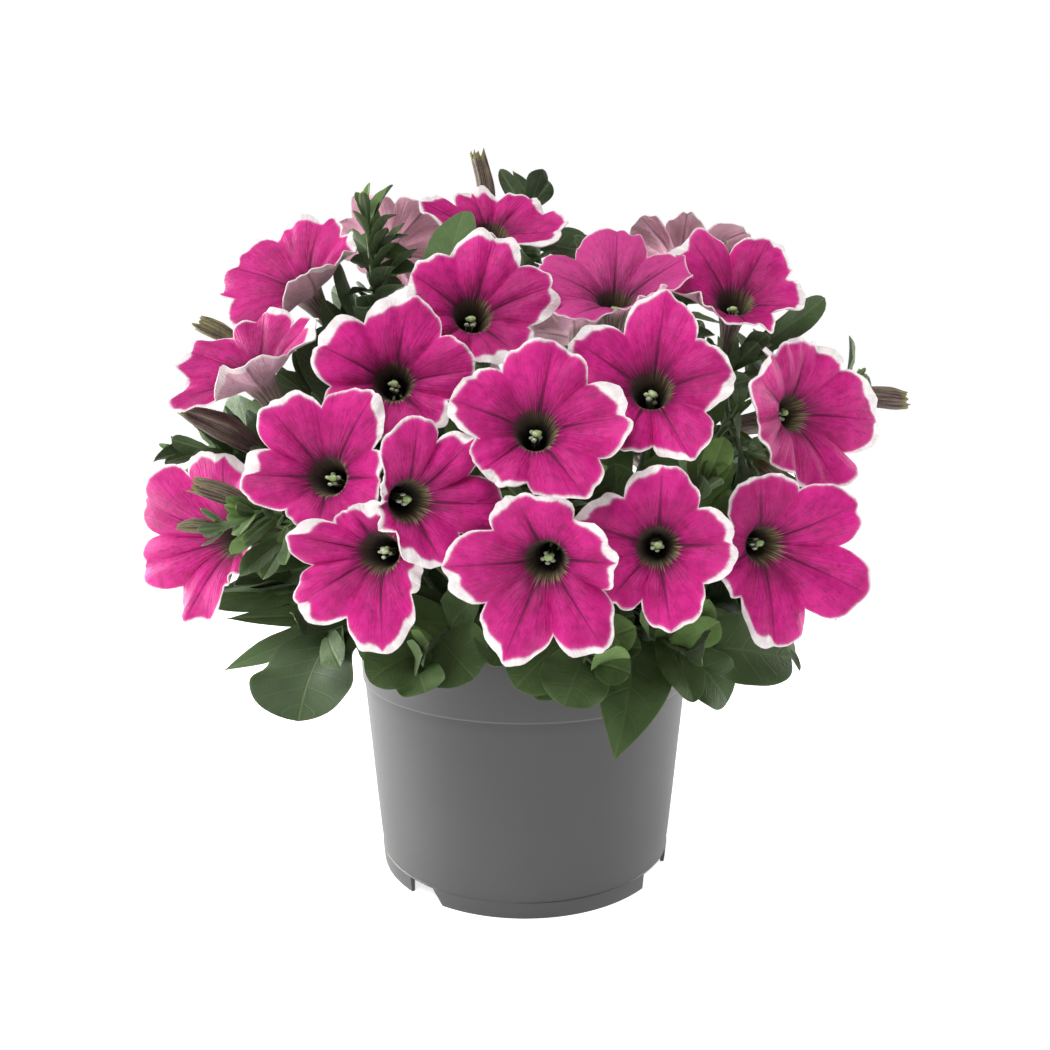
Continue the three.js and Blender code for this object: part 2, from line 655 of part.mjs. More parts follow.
function buildLeaf(leaf) {
  const { rows } = leaf;
  const shares = Array.from({ length: rows + 1 }, (_, i) => 1 - (1 - i / rows) ** LEAF_CROWD);
  const grid = leafGrid(leaf, shares, [-1, 0, 1]);
  const points = [grid[0][1], ...grid.slice(1, rows).flat(), grid[rows][1]];
  const list = [];
  for (const sense of [1, -1]) {
    for (const { p, normal } of points) {
      const q = p.clone().addScaledVector(normal, sense * LEAF / 2);
      list.push([q.x, q.y, q.z]);
    }
  }
  const under = points.length;
  const tip = under - 1;
  const faces = [];
  const add = (a, b, c) => {
    faces.push([a, b, c]);
    faces.push([a + under, c + under, b + under]);
  };
  add(0, 2, 1);
  add(0, 3, 2);
  for (let i = 1; i < tip - 3; i += 3) {
    add(i, i + 1, i + 4);
    add(i, i + 4, i + 3);
    add(i + 1, i + 2, i + 4);
    add(i + 2, i + 5, i + 4);
  }
  add(tip - 3, tip - 2, tip);
  add(tip - 2, tip - 1, tip);
  const border = [0];
  for (let i = 1; i < tip; i += 3) {
    border.push(i);
  }
  border.push(tip);
  for (let i = tip - 1; i > 0; i -= 3) {
    border.push(i);
  }
  border.forEach((a, i) => {
    const b = border[(i + 1) % border.length];
    faces.push([a, b, b + under], [a, b + under, a + under]);
  });
  return outwardSolid(list, faces);
}

// Growth: every stem, stalk, bloom and bud is placed first, then the leaves one by one
function placeBlooms(curves) {
  const blooms = [];
  for (const [name, stem, along, eye, direction, rise, lobes] of BLOOMS) {
    blooms.push({ name, stem, along, eye: V(...eye), direction, rise, lobes });
  }
  for (const [name, stem, along, eye, direction, rise, turn] of BACK_BLOOMS) {
    const draw = randomSource(Number(name));
    const lobes = [];
    for (let i = 0; i < 5; i += 1) {
      const angle = turn + 72 * i + 10 * (draw() - 0.5);
      const reach = BACK_LOBE_REACH + 4 * (draw() - 0.5);
      lobes.push([angle, reach, 12 * (draw() - 0.5)]);
    }
    blooms.push({ name, stem, along, eye: V(...eye), direction, rise, lobes });
  }
  for (const bloom of blooms) {
    bloom.frame = facing(bloom.direction, bloom.rise);
    const reach = TUBE_LENGTH + PETAL / 2 + FIT_GAP;
    bloom.seat = bloom.eye.clone().addScaledVector(bloom.frame.forward, -reach);
    const from = curves.get(bloom.stem).at(bloom.along);
    bloom.stalk = stalkCurve(from, bloom.seat, bloom.frame.forward);
  }
  return blooms;
}

function placeBuds(curves) {
  return BUDS.map(([name, stem, along, seat, direction, rise, length, radius]) => {
    const frame = facing(direction, rise);
    const from = curves.get(stem).at(along);
    const place = V(...seat);
    const stalk = stalkCurve(from, place, frame.forward);
    return { name, stem, frame, seat: place, length, radius, stalk };
  });
}

function buildBud(bud) {
  const shape = [[0, 0.55], [0.22, 0.8], [0.55, 1], [0.85, 0.72], [1, 0.25]];
  const points = shape.map(([s]) => {
    const h = FIT_GAP + s * (bud.length - FIT_GAP);
    return bud.seat.clone().addScaledVector(bud.frame.forward, h);
  });
  return sweep(points, shape.map(([, r]) => r * bud.radius), 6);
}

// Clearance of a point from everything that a leaf of one stem may not touch
function nearBloom(bloom, p) {
  const d = p.clone().sub(bloom.eye);
  const h = d.dot(bloom.frame.forward);
  const u = d.dot(bloom.frame.up);
  const v = d.dot(bloom.frame.right);
  const radius = Math.hypot(u, v);
  if (radius > 42 || h < -TUBE_LENGTH - 2 || h > 30) {
    return false;
  }
  if (h < 0 && radius < 2.5 + 3.8 * (1 + h / TUBE_LENGTH) + CLEAR_PETAL) {
    return true;
  }
  const profile = limbProfile(bloom.lobes, THREE.MathUtils.radToDeg(Math.atan2(v, u)));
  return profile.some(([r, z]) => Math.hypot(radius - r, h - z) < CLEAR_PETAL + 0.8);
}

function blocked(world, stem, leaf) {
  const grid = leafGrid(leaf, LEAF_SHARES, LEAF_COLUMNS);
  const samples = grid.slice(1).flat().map((entry) => entry.p);
  for (const p of samples) {
    const r = Math.hypot(p.x, p.y);
    if (r < RIM_RADIUS + 2 && p.z < RIM_Z + 2.5) {
      if (r > RIM_RADIUS - 6 || p.z < SOIL_TOP + SOIL_CROWN + 5) {
        return true;
      }
    }
    if (r > world.limit || p.z > world.ceiling) {
      return true;
    }
    if (world.blooms.some((bloom) => nearBloom(bloom, p))) {
      return true;
    }
    for (const spot of world.spots) {
      const own = spot.stem === stem;
      const reach = spot.radius + (own ? CLEAR_OWN : CLEAR_LEAF);
      if (spot.p.distanceTo(p) < reach && !(own && spot.p.distanceTo(leaf.root) < ROOT_ZONE)) {
        return true;
      }
    }
  }
  return false;
}

function claim(world, stem, leaf) {
  for (const { p } of leafGrid(leaf, LEAF_SHARES, LEAF_COLUMNS).flat()) {
    world.spots.push({ p, radius: LEAF, stem });
  }
}

function growLeaves(world, stem, curve, { from, to, count, size, rows, seed }) {
  const draw = randomSource(seed);
  const leaves = [];
  for (let i = 0; i < count; i += 1) {
    const share = count > 1 ? i / (count - 1) : 0;
    const t = from + (to - from) * share;
    const root = curve.at(t);
    const along = curve.along(t);
    const turn = deg(137.5 * i + 360 * draw());
    const flat = Math.abs(along.z) > 0.95 ? V(1, 0, 0) : V(0, 0, 1);
    const side = flat.clone().cross(along).normalize();
    const other = along.clone().cross(side);
    const length = size * (1 - 0.45 * share ** 1.6) * (0.88 + 0.24 * draw());
    const fold = 0.12 + 0.3 * draw();
    const wave = 0.1 + 0.16 * draw();
    let placed = null;
    for (let attempt = 0; attempt < 8 && placed === null; attempt += 1) {
      const spin = turn + deg(47) * attempt;
      const lean = deg(66 - 26 * share - 5 * (attempt % 3));
      const radial = side.clone().multiplyScalar(Math.cos(spin));
      radial.addScaledVector(other, Math.sin(spin));
      const reach = along.clone().multiplyScalar(Math.cos(lean));
      reach.addScaledVector(radial, Math.sin(lean));
      const long = length * (attempt < 5 ? 1 : 0.7);
      const leaf = {
        root,
        tip: root.clone().addScaledVector(reach, long),
        lift: along.clone().lerp(V(0, 0, 1), 0.3),
        width: long * 0.5,
        arch: long * 0.1,
        fold,
        wave,
        rows,
      };
      if (!blocked(world, stem, leaf)) {
        placed = leaf;
      }
    }
    if (placed !== null) {
      claim(world, stem, placed);
      leaves.push(placed);
    }
  }
  return leaves;
}

function seenLeaves(table, number, curve) {
  const rows = table.filter(([stem]) => stem === number);
  return rows.map(([, along, place, width, arch, taper]) => {
    const root = curve.at(along);
    const tip = V(...place);
    const lift = V(0.5 * tip.x, tip.y, 0).normalize().add(V(0, 0, 0.5));
    const held = { fold: RIM_FOLD, wave: RIM_WAVE, rows: RIM_ROWS };
    return { root, tip, lift, width, arch, taper, ...held };
  });
}

function growPlant() {
  const curves = new Map();
  const branches = new Map();
  for (const stem of STEMS) {
    const curve = stemCurve(stem);
    curves.set(stem[0], curve);
    if (stem[5] !== null) {
      branches.set(stem[0], branchCurve(curve, stem[5]));
    }
  }
  const blooms = placeBlooms(curves);
  const buds = placeBuds(curves);
  const world = { blooms, spots: [], limit: 136, ceiling: 275 };
  const mark = (curve, radius, stem, count) => {
    for (let i = 0; i <= count; i += 1) {
      world.spots.push({ p: curve.at(i / count), radius, stem });
    }
  };
  for (const [number, curve] of curves) {
    mark(curve, 2.4, number, 60);
  }
  for (const [number, curve] of branches) {
    mark(curve, 1.8, number, 30);
  }
  for (const bloom of blooms) {
    mark(bloom.stalk, 1.8, bloom.stem, 20);
    for (const solidAngle of [20, 92, 164, 236, 308]) {
      for (const share of [0.35, 0.7, 1]) {
        const reach = 10.5 * share;
        const h = -TUBE_LENGTH - 1.9 + reach * Math.cos(deg(52));
        const p = bloomPoint(bloom, solidAngle, reach * Math.sin(deg(52)), h);
        world.spots.push({ p, radius: 1.2, stem: bloom.stem });
      }
    }
  }
  for (const bud of buds) {
    mark(bud.stalk, 1.6, bud.stem, 16);
    for (let i = 0; i <= 8; i += 1) {
      const p = bud.seat.clone().addScaledVector(bud.frame.forward, bud.length * i / 8);
      world.spots.push({ p, radius: bud.radius, stem: 0 });
    }
  }
  const leaves = new Map();
  for (const number of curves.keys()) {
    const seen = seenLeaves(RIM_LEAVES, number, branches.get(number));
    seen.push(...seenLeaves(CROWN_LEAVES, number, curves.get(number)));
    seen.forEach((leaf) => claim(world, number, leaf));
    leaves.set(number, seen);
  }
  for (const [number, curve] of curves) {
    const branch = branches.get(number);
    if (branch && !RIM_LEAVES.some(([stem]) => stem === number)) {
      const low = growLeaves(world, number, branch, { ...LOW_LEAVES, seed: 500 + number });
      leaves.get(number).push(...low);
    }
    const main = growLeaves(world, number, curve, { ...MAIN_LEAVES, seed: 100 + number });
    leaves.get(number).push(...main);
  }
  return { curves, branches, blooms, buds, leaves };
}

function buildStem(plant, number) {
  const curve = plant.curves.get(number);
  const radii = curve.points.map((p, i) => stemRadius(i / STEM_STEPS));
  const solids = [sweep(curve.points, radii, STEM_SIDES)];
  const branch = plant.branches.get(number);
  if (branch) {
    solids.push(sweep(branch.points, [1.6, 1.5, 1.4, 1.2, 1.0], STALK_SIDES));
  }
  for (const bloom of plant.blooms) {
    if (bloom.stem === number) {
      solids.push(buildGreens(bloom, BLOOM_CUP, true));
    }
  }
  for (const bud of plant.buds) {
    if (bud.stem === number) {
      solids.push(buildGreens(bud, BUD_CUP, false));
    }
  }
  for (const leaf of plant.leaves.get(number)) {
    solids.push(buildLeaf(leaf));
  }
  return fuse(solids);
}

const plant = growPlant();
const group = new THREE.Group();
group.name = 'potted_petunia';
group.add(meshFromSolid(buildPot(), 'pot', POT_GREY, 0.55));
group.add(meshFromSolid(buildSoil(), 'soil', SOIL_BROWN, 0.95));
for (const [number] of STEMS) {
  const name = `stem_${String(number).padStart(2, '0')}`;
  group.add(meshFromSolid(buildStem(plant, number), name, LEAF_GREEN, 0.7));
}
for (const bloom of plant.blooms) {
  group.add(meshFromSolid(buildCorolla(bloom), `corolla_${bloom.name}`, PETAL_PINK, 0.6));
}
for (const bud of plant.buds) {
  group.add(meshFromSolid(buildBud(bud), `bud_${bud.name}`, BUD_PURPLE, 0.7));
}

export default group;
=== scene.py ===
"""Potted petunia: pot, soil, leafy stems, trumpet blooms, cups and buds.

The tables and the growth rules hold millimetres and degrees. Directions are
degrees from the front of the pot (-Y), turning toward +X. Meshes are made in
metres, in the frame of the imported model.
"""
import math
from types import SimpleNamespace

import bpy
import numpy as np
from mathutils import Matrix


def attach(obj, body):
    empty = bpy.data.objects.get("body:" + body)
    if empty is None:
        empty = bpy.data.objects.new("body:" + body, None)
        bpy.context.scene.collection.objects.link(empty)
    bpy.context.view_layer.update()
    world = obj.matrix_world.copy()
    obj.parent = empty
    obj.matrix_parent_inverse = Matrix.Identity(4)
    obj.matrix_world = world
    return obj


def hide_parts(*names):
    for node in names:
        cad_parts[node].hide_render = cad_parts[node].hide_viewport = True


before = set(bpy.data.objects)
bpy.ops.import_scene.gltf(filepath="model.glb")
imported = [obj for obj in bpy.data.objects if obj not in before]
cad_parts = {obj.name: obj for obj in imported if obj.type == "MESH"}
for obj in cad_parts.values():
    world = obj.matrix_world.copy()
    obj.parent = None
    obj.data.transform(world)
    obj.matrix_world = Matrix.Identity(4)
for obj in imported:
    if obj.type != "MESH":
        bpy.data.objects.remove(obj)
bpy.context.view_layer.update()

MM = 0.001
UP = np.array([0.0, 0.0, 1.0])

# Camera
PHOTO_SIZE = 1050
FOCAL = 1030
CAMERA_PLACE = (0.0, -0.396, 0.200)
CAMERA_PITCH = 9.6

# Pot
FOOT_RADIUS = 57.0
WALL_TOP_RADIUS = 63.3
BAND_Z = 75.4
BAND_RADIUS = 64.0
RIM_RADIUS = 65.0
RIM_Z = 98.0
WALL = 1.5
FLOOR_UNDERSIDE = 6.6
FLOOR_THICKNESS = 1.6
FOOT_LINE_Z = 6.2
NOTCH_HEIGHT = 6.0
NOTCHES = [[-40, 16, 4], [63, 24, 0], [140, 16, 4], [-117, 24, 0]]
DRAIN_HOLES = 5
DRAIN_RADIUS = 4.0
DRAIN_CIRCLE = 34.0
FLOOR_RING = 30.0
CORNER = 0.35
CORNER_STEPS = 3
POT_STEP = 1.6

# Soil
SOIL_TOP = 85.0
SOIL_CROWN = 3.0
SOIL_LUMP = 1.1
SOIL_GAP = 0.35
ROOT_DEPTH = 9.0
FIT_GAP = 0.35
SOIL_RINGS = 34
SOIL_SIDES = 150
CRUMBS = 520
CRUMB_CIRCLE = 60.0

# Blooms
FIFTH_TURN = 72
EYE_RADIUS = 6.2
TUBE_LENGTH = 26.0
PETAL = 0.7
FLARE = 55.0
LOBE_ROUND = 0.57
LOBE_TIP = 0.03
TIP_WIDTH = 5
PROFILE_STEPS = 12

# Stems and leaves
STEM_STEPS = 6
BRANCH_STEPS = 4
STALK_STEPS = 2
CUP_TURN = 20
BLOOM_CUP = {"reach": 8.2, "rise": 4.4}
BUD_CUP = {"reach": 6.8, "rise": 4.6}
LOW_LEAVES = {"start": 0.4, "end": 0.97, "count": 4, "size": 46}
MAIN_LEAVES = {"start": 0.56, "end": 0.97, "count": 3, "size": 36}
GOLDEN_TURN = 137.5
LEAF_WAVES = 7.3
RIM_FOLD = 0.2
RIM_WAVE = 0.14

# Room that each piece claims, and what leaves keep clear of
LEAF = 0.8
STEM_ROOM = 2.4
BRANCH_ROOM = 1.8
STALK_ROOM = 1.8
BUD_STALK_ROOM = 1.6
CUP_ROOM = 1.2
CUP_SPREAD = {"reach": 10.5, "lean": 52, "drop": 1.9, "shares": (0.35, 0.7, 1)}
CLEAR_LEAF = 2.6
CLEAR_OWN = 1.4
ROOT_ZONE = 9.0
CLEAR_PETAL = 3.2
SPREAD_LIMIT = 136.0
HEIGHT_LIMIT = 275.0

# Blooms: name, stem, place along the stem, middle of the eye, direction and rise of
# the facing, then five lobes as angle about the facing, reach and forward bend
BLOOMS = [
  ["01", 1, 0.80, [3, -98, 177], 0, 23,
    [[12, 28, 0], [86, 30, 0], [148, 28, 12], [-132, 22.5, 12], [-73, 28, 0]]],
  ["02", 2, 0.80, [-17, -58, 211], 10, 25,
    [[18, 31, -5], [76, 30.5, 0], [142, 23, 0], [-134, 20.5, 0], [-58, 25, -5]]],
  ["03", 2, 0.62, [-41, -72, 190], 4, 14,
    [[12, 29, -5], [84, 25.5, 0], [139, 23, 0], [-126, 25, 0], [-64, 29, -5]]],
  ["04", 3, 0.55, [-60, -84, 162], -10, 16,
    [[-41, 31, 0], [33, 32, 0], [92, 22, 20], [-177, 18, 10], [-92, 28, 0]]],
  ["05", 3, 0.40, [-33, -107, 158], 24, 2,
    [[4, 27, 0], [46, 28, -20], [94, 30, 0], [156, 22, 0], [-92, 9, 50]]],
  ["06", 2, 0.35, [-43, -96, 141], -12, 9,
    [[-34, 17, 5], [-80, 29, 0], [-126, 31, 0], [170, 32, 0], [100, 16, 0]]],
  ["07", 1, 0.55, [6, -108, 141], -8, 0,
    [[-22, 24.5, 20], [-92, 31, 0], [-158, 33, 0], [142, 32, 0], [87, 23, 20]]],
  ["08", 7, 0.60, [39, -98, 143], -6, 8,
    [[2, 26.5, 0], [86, 25, 0], [170, 27, 0], [-138, 23.5, 0], [-72, 28, 5]]],
  ["09", 8, 0.60, [38, -84, 188], -5, 26,
    [[8, 32, 0], [78, 27, 0], [156, 29.5, 0], [-158, 27, 10], [-62, 30, 0]]],
  ["10", 8, 0.80, [30, -45, 216], 0, 56,
    [[4, 33, 0], [60, 31, 0], [150, 22, 75], [-145, 30, 0], [-72, 28.5, 0]]],
  ["11", 9, 0.74, [72, -34, 216], -2, 44,
    [[-32, 34, 0], [30, 27.5, 0], [112, 26.5, 10], [172, 26, 45], [-122, 26, 60]]],
  ["12", 9, 0.60, [91, -42, 179], 32, 10,
    [[-66, 34, 20], [10, 27, 0], [99, 35, 0], [158, 31.5, 0], [-122, 27, 10]]],
  ["13", 9, 0.36, [77, -68, 138], 14, 4,
    [[-10, 29, 0], [66, 34, 0], [117, 37, 0], [180, 34.5, 0], [-113, 22, 20]]],
  ["14", 4, 0.50, [-101, -46, 136], -36, 4,
    [[10, 33, 0], [-74, 39, 0], [-110, 40, 0], [-158, 33, 0], [130, 18, 50]]],
  ["15", 4, 0.72, [-90, -46, 191], -30, 50,
    [[-144, 30, 5], [-84, 29, 5], [-18, 30, 5], [48, 31, 10], [130, 28, 80]]],
  ["16", 5, 0.62, [-82, -2, 222], -30, 42,
    [[-84, 33, 5], [-7, 32, 5], [60, 29, 10], [118, 32, 80], [-160, 26, 0]]],
  ["17", 6, 0.80, [-13, 0, 243], 10, 50,
    [[-80, 29, 15], [-16, 22, 15], [48, 25, 10], [120, 33, 18], [-160, 24, 55]]],
  ["18", 5, 0.80, [-55, 34, 240], 172, 38,
    [[79, 27, 0], [20, 26, 0], [-48, 28, 0], [-115, 27, 0], [150, 25, 0]]],
  ["19", 10, 0.80, [63, 33, 236], 152, 55,
    [[-77, 28, 0], [-18, 25, 0], [32, 28, 0], [105, 26, 0], [-150, 26, 0]]],
]

# Blooms of the back: name, stem, place along the stem, middle of the eye, direction and
# rise of the facing, and the angle of the first lobe
BACK_BLOOMS = [
  ["20", 14, 0.66, [108, 34, 172], 104, 12, 10],
  ["21", 11, 0.62, [66, 94, 158], 146, 6, -14],
  ["22", 11, 0.84, [26, 84, 206], 165, 28, 22],
  ["23", 12, 0.60, [2, 106, 146], 182, 2, 4],
  ["24", 12, 0.84, [-34, 92, 190], 198, 22, 30],
  ["25", 13, 0.60, [-84, 74, 158], 228, 8, -20],
]
BACK_LOBE_REACH = 28.5

# Stems: number, foot, two shaping points, tip, and the tip of the side branch or None
STEMS = [
  [1, [0, -20], [0, -38, 118], [6, -58, 138], [14, -66, 154], [22, -88, 104]],
  [2, [-13, -16], [-22, -32, 130], [-30, -44, 170], [-28, -56, 214], [-34, -84, 104]],
  [3, [-20, -8], [-38, -24, 118], [-66, -52, 142], [-86, -76, 150], [-66, -60, 106]],
  [4, [-22, 4], [-48, -8, 124], [-90, -14, 160], [-124, -20, 164], [-92, -18, 104]],
  [5, [-14, 16], [-36, 12, 140], [-54, 6, 200], [-58, -6, 250], [-84, 34, 104]],
  [6, [0, 2], [-2, 10, 130], [-4, 30, 205], [3, 40, 262], None],
  [7, [12, -15], [26, -34, 112], [44, -62, 138], [57, -76, 158], [52, -76, 104]],
  [8, [20, -6], [32, -22, 130], [50, -28, 168], [78, -32, 200], [84, -34, 106]],
  [9, [22, 8], [52, 0, 120], [86, -10, 156], [124, -6, 190], [96, 10, 104]],
  [10, [12, 18], [28, 16, 140], [46, 16, 198], [78, 14, 234], [78, 56, 104]],
  [11, [8, 28], [22, 46, 122], [38, 66, 160], [45, 77, 205], [45, 84, 104]],
  [12, [-4, 30], [-8, 50, 118], [-12, 72, 148], [-20, 84, 190], [0, 94, 104]],
  [13, [-18, 28], [-36, 44, 118], [-60, 56, 150], [-76, 62, 190], [-46, 80, 104]],
  [14, [24, 20], [50, 26, 118], [78, 34, 150], [94, 30, 196], None],
]

# Buds: name, stem, place along the stem, seat, direction, rise, length, radius
BUDS = [
  ["01", 6, 0.74, [-19, 38, 244], 0, 88, 34, 3.4],
  ["02", 9, 0.90, [110, -18, 181], 84, 3, 28, 3.6],
  ["03", 4, 0.80, [-90, -40, 165], -80, 29, 31, 4.6],
  ["04", 5, 0.55, [-109, 6, 202], -90, 28, 18, 3.4],
  ["05", 3, 0.90, [-87, -70, 151], -78, 22, 19, 3.2],
  ["06", 9, 0.66, [80, -38, 163], 62, -28, 24, 3.0],
  ["07", 3, 0.96, [-98, -74, 145], -86, 0, 12, 2.4],
]

# Leaves over the rim: stem, place along its branch, tip, width, arch and taper
RIM_LEAVES = [
  [3, 0.95, [-83, -84, 87], 34, 7, 0],
  [3, 0.85, [-103, -56, 95], 15, 4, 1],
  [3, 0.70, [-105, -44, 107], 9, 3, 1],
  [4, 0.95, [-113, -22, 109], 9, 3, 0],
  [4, 0.80, [-113, -44, 116], 19, 5, 0],
  [4, 0.60, [-104, -36, 117], 18, 5, 0],
  [3, 1.00, [-56, -94, 105], 10, 3, 0],
  [2, 0.85, [-48, -90, 99], 18, 6, 0],
  [2, 1.00, [-31, -88, 95], 16, 4, 0],
  [2, 0.72, [-16, -84, 98], 24, 7, 0],
  [1, 0.62, [-3, -84, 95], 22, 7, 0],
  [1, 0.85, [12, -92, 92], 22, 6, 0],
  [1, 1.00, [32, -94, 103], 12, 4, 0],
  [7, 0.60, [28, -90, 73], 25, 14, 1],
  [7, 0.80, [53, -86, 91], 14, 6, 0],
  [7, 0.95, [66, -74, 90], 15, 5, 0],
  [7, 0.90, [88, -60, 93], 24, 6, 0],
  [9, 0.70, [120, -8, 104], 8, 4, 0],
]

# Large leaves seen between the upper blooms: the same columns, placed along the main stem
CROWN_LEAVES = [
  [2, 0.96, [-21, -30, 247], 17, 5, 0],
  [6, 0.92, [25, 32, 244], 9, 4, 0],
  [6, 0.99, [-5, 40, 276], 6, 1, 1],
  [8, 0.98, [107, -20, 216], 15, 4, 0],
]

# Looks of the limbs: height of the edge waves, how full the lobes are at their shoulders,
# width of the white margin, paleness (on the underside partly painted light through the petal), and what
# each lobe reaches further out
PLAIN_LOOK = {"wave": 2.2, "full": 0.8, "white": 1.0, "pale": 0.0, "more": (0, 0, 0, 0, 0)}
BLOOM_LOOKS = {
    "03": {"more": (0, 3, 0, 0, 0)},
    "04": {"white": 1.3, "full": 0.45},
    "05": {"full": 0.35},
    "06": {"full": 0.5},
    "07": {"full": 0.15, "wave": 2.8},
    "08": {"full": 0.25},
    "09": {"full": 0.05},
    "10": {"white": 0.12, "pale": 1.0, "wave": 1.4, "full": 0.6, "more": (3, 0, 0, 0, 3)},
    "11": {"more": (-2, 2, -1, 0, 0)},
    "12": {"white": 1.3, "full": 1.0, "more": (0, 0, 3, 1, 0)},
    "13": {"full": 0.35, "more": (-3, 1, 3, 2, 0)},
    "14": {"full": 0.65, "more": (0, 5, 3, 2, 0)},
    "15": {"white": 1.3, "full": 0.7, "more": (2, 4, 0, 0, 3)},
    "16": {"white": 1.3, "full": 1.4, "more": (5, 2, 0, 0, 5)},
    "17": {"white": 1.3, "full": 0.5},
    "18": {"pale": 1.0, "white": 0.6},
    "19": {"pale": 1.0, "white": 0.6, "more": (3, -2, -2, 4, 0)},
}

# Leaves that fill the gaps between the blooms, in the same columns
GAP_LEAVES = [
    [5, 0.72, [-70, 0, 233], 16, 4, 0],
    [5, 0.66, [-65, -5, 209], 16, 4, 0],
    [5, 0.58, [-85, -5, 202], 20, 5, 0],
    [5, 0.50, [-79, -12, 185], 18, 4, 0],
    [7, 0.55, [30, -55, 163], 20, 5, 0],
    [1, 0.80, [28, -60, 157], 20, 5, 0],
    [8, 0.94, [63, -25, 212], 14, 3, 0],
    [3, 0.66, [-90, -60, 131], 18, 4, 0],
    [4, 0.45, [-103, -32, 127], 18, 4, 0],
    [4, 0.35, [-102, -20, 138], 18, 4, 0],
    [3, 0.60, [-74, -62, 138], 16, 4, 0],
    [6, 0.96, [-10, 36, 272], 7, 2, 0],
    [6, 0.98, [10, 36, 267], 9, 2, 0],
    [6, 0.92, [30, 24, 237], 13, 4, 0],
    [2, 0.55, [-24, -40, 176], 20, 4, 0],
    [8, 0.60, [60, -45, 160], 20, 4, 0],
    [8, 0.50, [77, -40, 142], 22, 4, 0],
    [1, 0.60, [-19, -50, 129], 22, 4, 0],
    [7, 0.50, [40, -50, 119], 22, 4, 0],
    [4, 0.60, [-116, 5, 179], 18, 4, 0],
    [4, 0.66, [-107, 0, 177], 20, 4, 0],
    [4, 0.66, [-98, -10, 180], 20, 4, 0],
    [5, 0.56, [-93, -6, 192], 20, 4, 0],
    [5, 0.52, [-87, -4, 200], 20, 4, 0],
    [5, 0.60, [-86, 4, 208], 18, 4, 0],
    [5, 0.66, [-77, 6, 219], 17, 4, 0],
    [5, 0.70, [-68, 0, 219], 15, 4, 0],
    [5, 0.62, [-90, 0, 183], 22, 4, 0],
    [5, 0.80, [-74, 8, 223], 12, 3, 0],
    [5, 0.75, [-83, 10, 206], 16, 3, 0],
    [5, 0.93, [-42, -4, 234], 9, 2, 0],
    [5, 0.93, [-43, -4, 242], 8, 2, 0],
    [5, 0.93, [-65, -4, 243], 8, 2, 0],
    [5, 0.90, [-65, -2, 233], 9, 2, 0],
    [3, 0.50, [-115, -30, 109], 20, 4, 0],
    [4, 0.70, [-122, 25, 178], 22, 4, 0],
    [1, 0.45, [-10, -87, 103], 22, 4, 0],
    [5, 0.45, [-112, 30, 180], 22, 4, 0],
    [3, 0.55, [-107, -25, 115], 20, 4, 0],
    [5, 0.86, [-46, -2, 224], 10, 2, 0],
    [5, 0.86, [-68, 2, 220], 10, 2, 0],
    [5, 0.96, [-47, -6, 249], 7, 2, 0],
    [5, 0.90, [-39, -4, 229], 9, 2, 0],
    [9, 0.70, [71, -45, 177], 20, 4, 0],
    [8, 0.80, [67, -30, 202], 17, 4, 0],
    [9, 0.84, [75, -20, 207], 15, 3, 0],
    [8, 0.70, [65, -38, 190], 20, 4, 0],
    [8, 0.62, [71, -42, 166], 22, 4, 0],
    [8, 0.90, [64, -20, 212], 14, 3, 0],
    [10, 0.70, [69, 10, 211], 16, 3, 0],
    [10, 0.75, [74, 14, 206], 16, 3, 0],
    [9, 0.84, [84, -10, 208], 13, 3, 0],
    [9, 0.90, [131, 0, 190], 11, 3, 0],
    [9, 0.84, [131, -4, 165], 12, 3, 0],
    [9, 0.80, [135, 10, 169], 12, 3, 0],
    [4, 0.55, [-114, -20, 109], 13, 3, 0],
    [4, 0.50, [-105, -26, 105], 14, 3, 0],
    [3, 0.80, [-95, -60, 126], 14, 3, 0],
    [4, 0.40, [-114, -10, 103], 13, 3, 0],
    [10, 0.70, [32, 10, 245], 14, 3, 0],
    [10, 0.80, [19, 16, 244], 12, 3, 0],
    [6, 0.90, [6, 30, 238], 13, 3, 0],
    [6, 0.86, [3, 34, 236], 13, 3, 0],
]

# Leaves of the solids moved a little here: stem, number, shift of the tip, share of the
# width, and how dark the blade is
LEAF_TRIMS = [
    [3, 0, [11, 0, -3], 1.15, 1.0],
    [3, 1, [0, 0, -3], 0.8, 0.6],
    [7, 3, [2, 0, 4.5], 1.0, 0.6],
    [7, 2, [0, 0, -3], 1.2, 0.6],
    [9, 0, [1, 0, -7], 0.8, 0.6],
    [8, 0, [0, 0, 2.5], 0.7, 0.6],
    [6, 1, [0, 0, -4], 1.0, 0.6],
]

# Young leaves at the stem tips: how many, how dark, their size, and that of some stems
TIP_COUNT = 15
TIP_TONE = 0.05
TIP_SIZE = 24
TIP_SIZES = {5: 25, 6: 15, 9: 15}
TIP_START = 0.84

# Finer leaves of the scene alone: along the stem, along the branch, and low on the stem
FINE_LEAVES = {"start": 0.32, "end": 0.9, "count": 8, "size": 30, "slim": 0.52, "ease": 1.2}
BRANCH_LEAVES = {"start": 0.35, "end": 1.0, "count": 7, "size": 32, "slim": 0.6, "ease": 1.2}
INNER_LEAVES = {"start": 0.2, "end": 0.78, "count": 8, "size": 44, "slim": 0.52, "ease": 1.6}
GAP_MOVES = (0, 7, -7, 14, 21, -14, 28, 35, 45)
TIP_EASE = 2.2
GAP_EASE = 2.0
LARGE_LEAF = 14

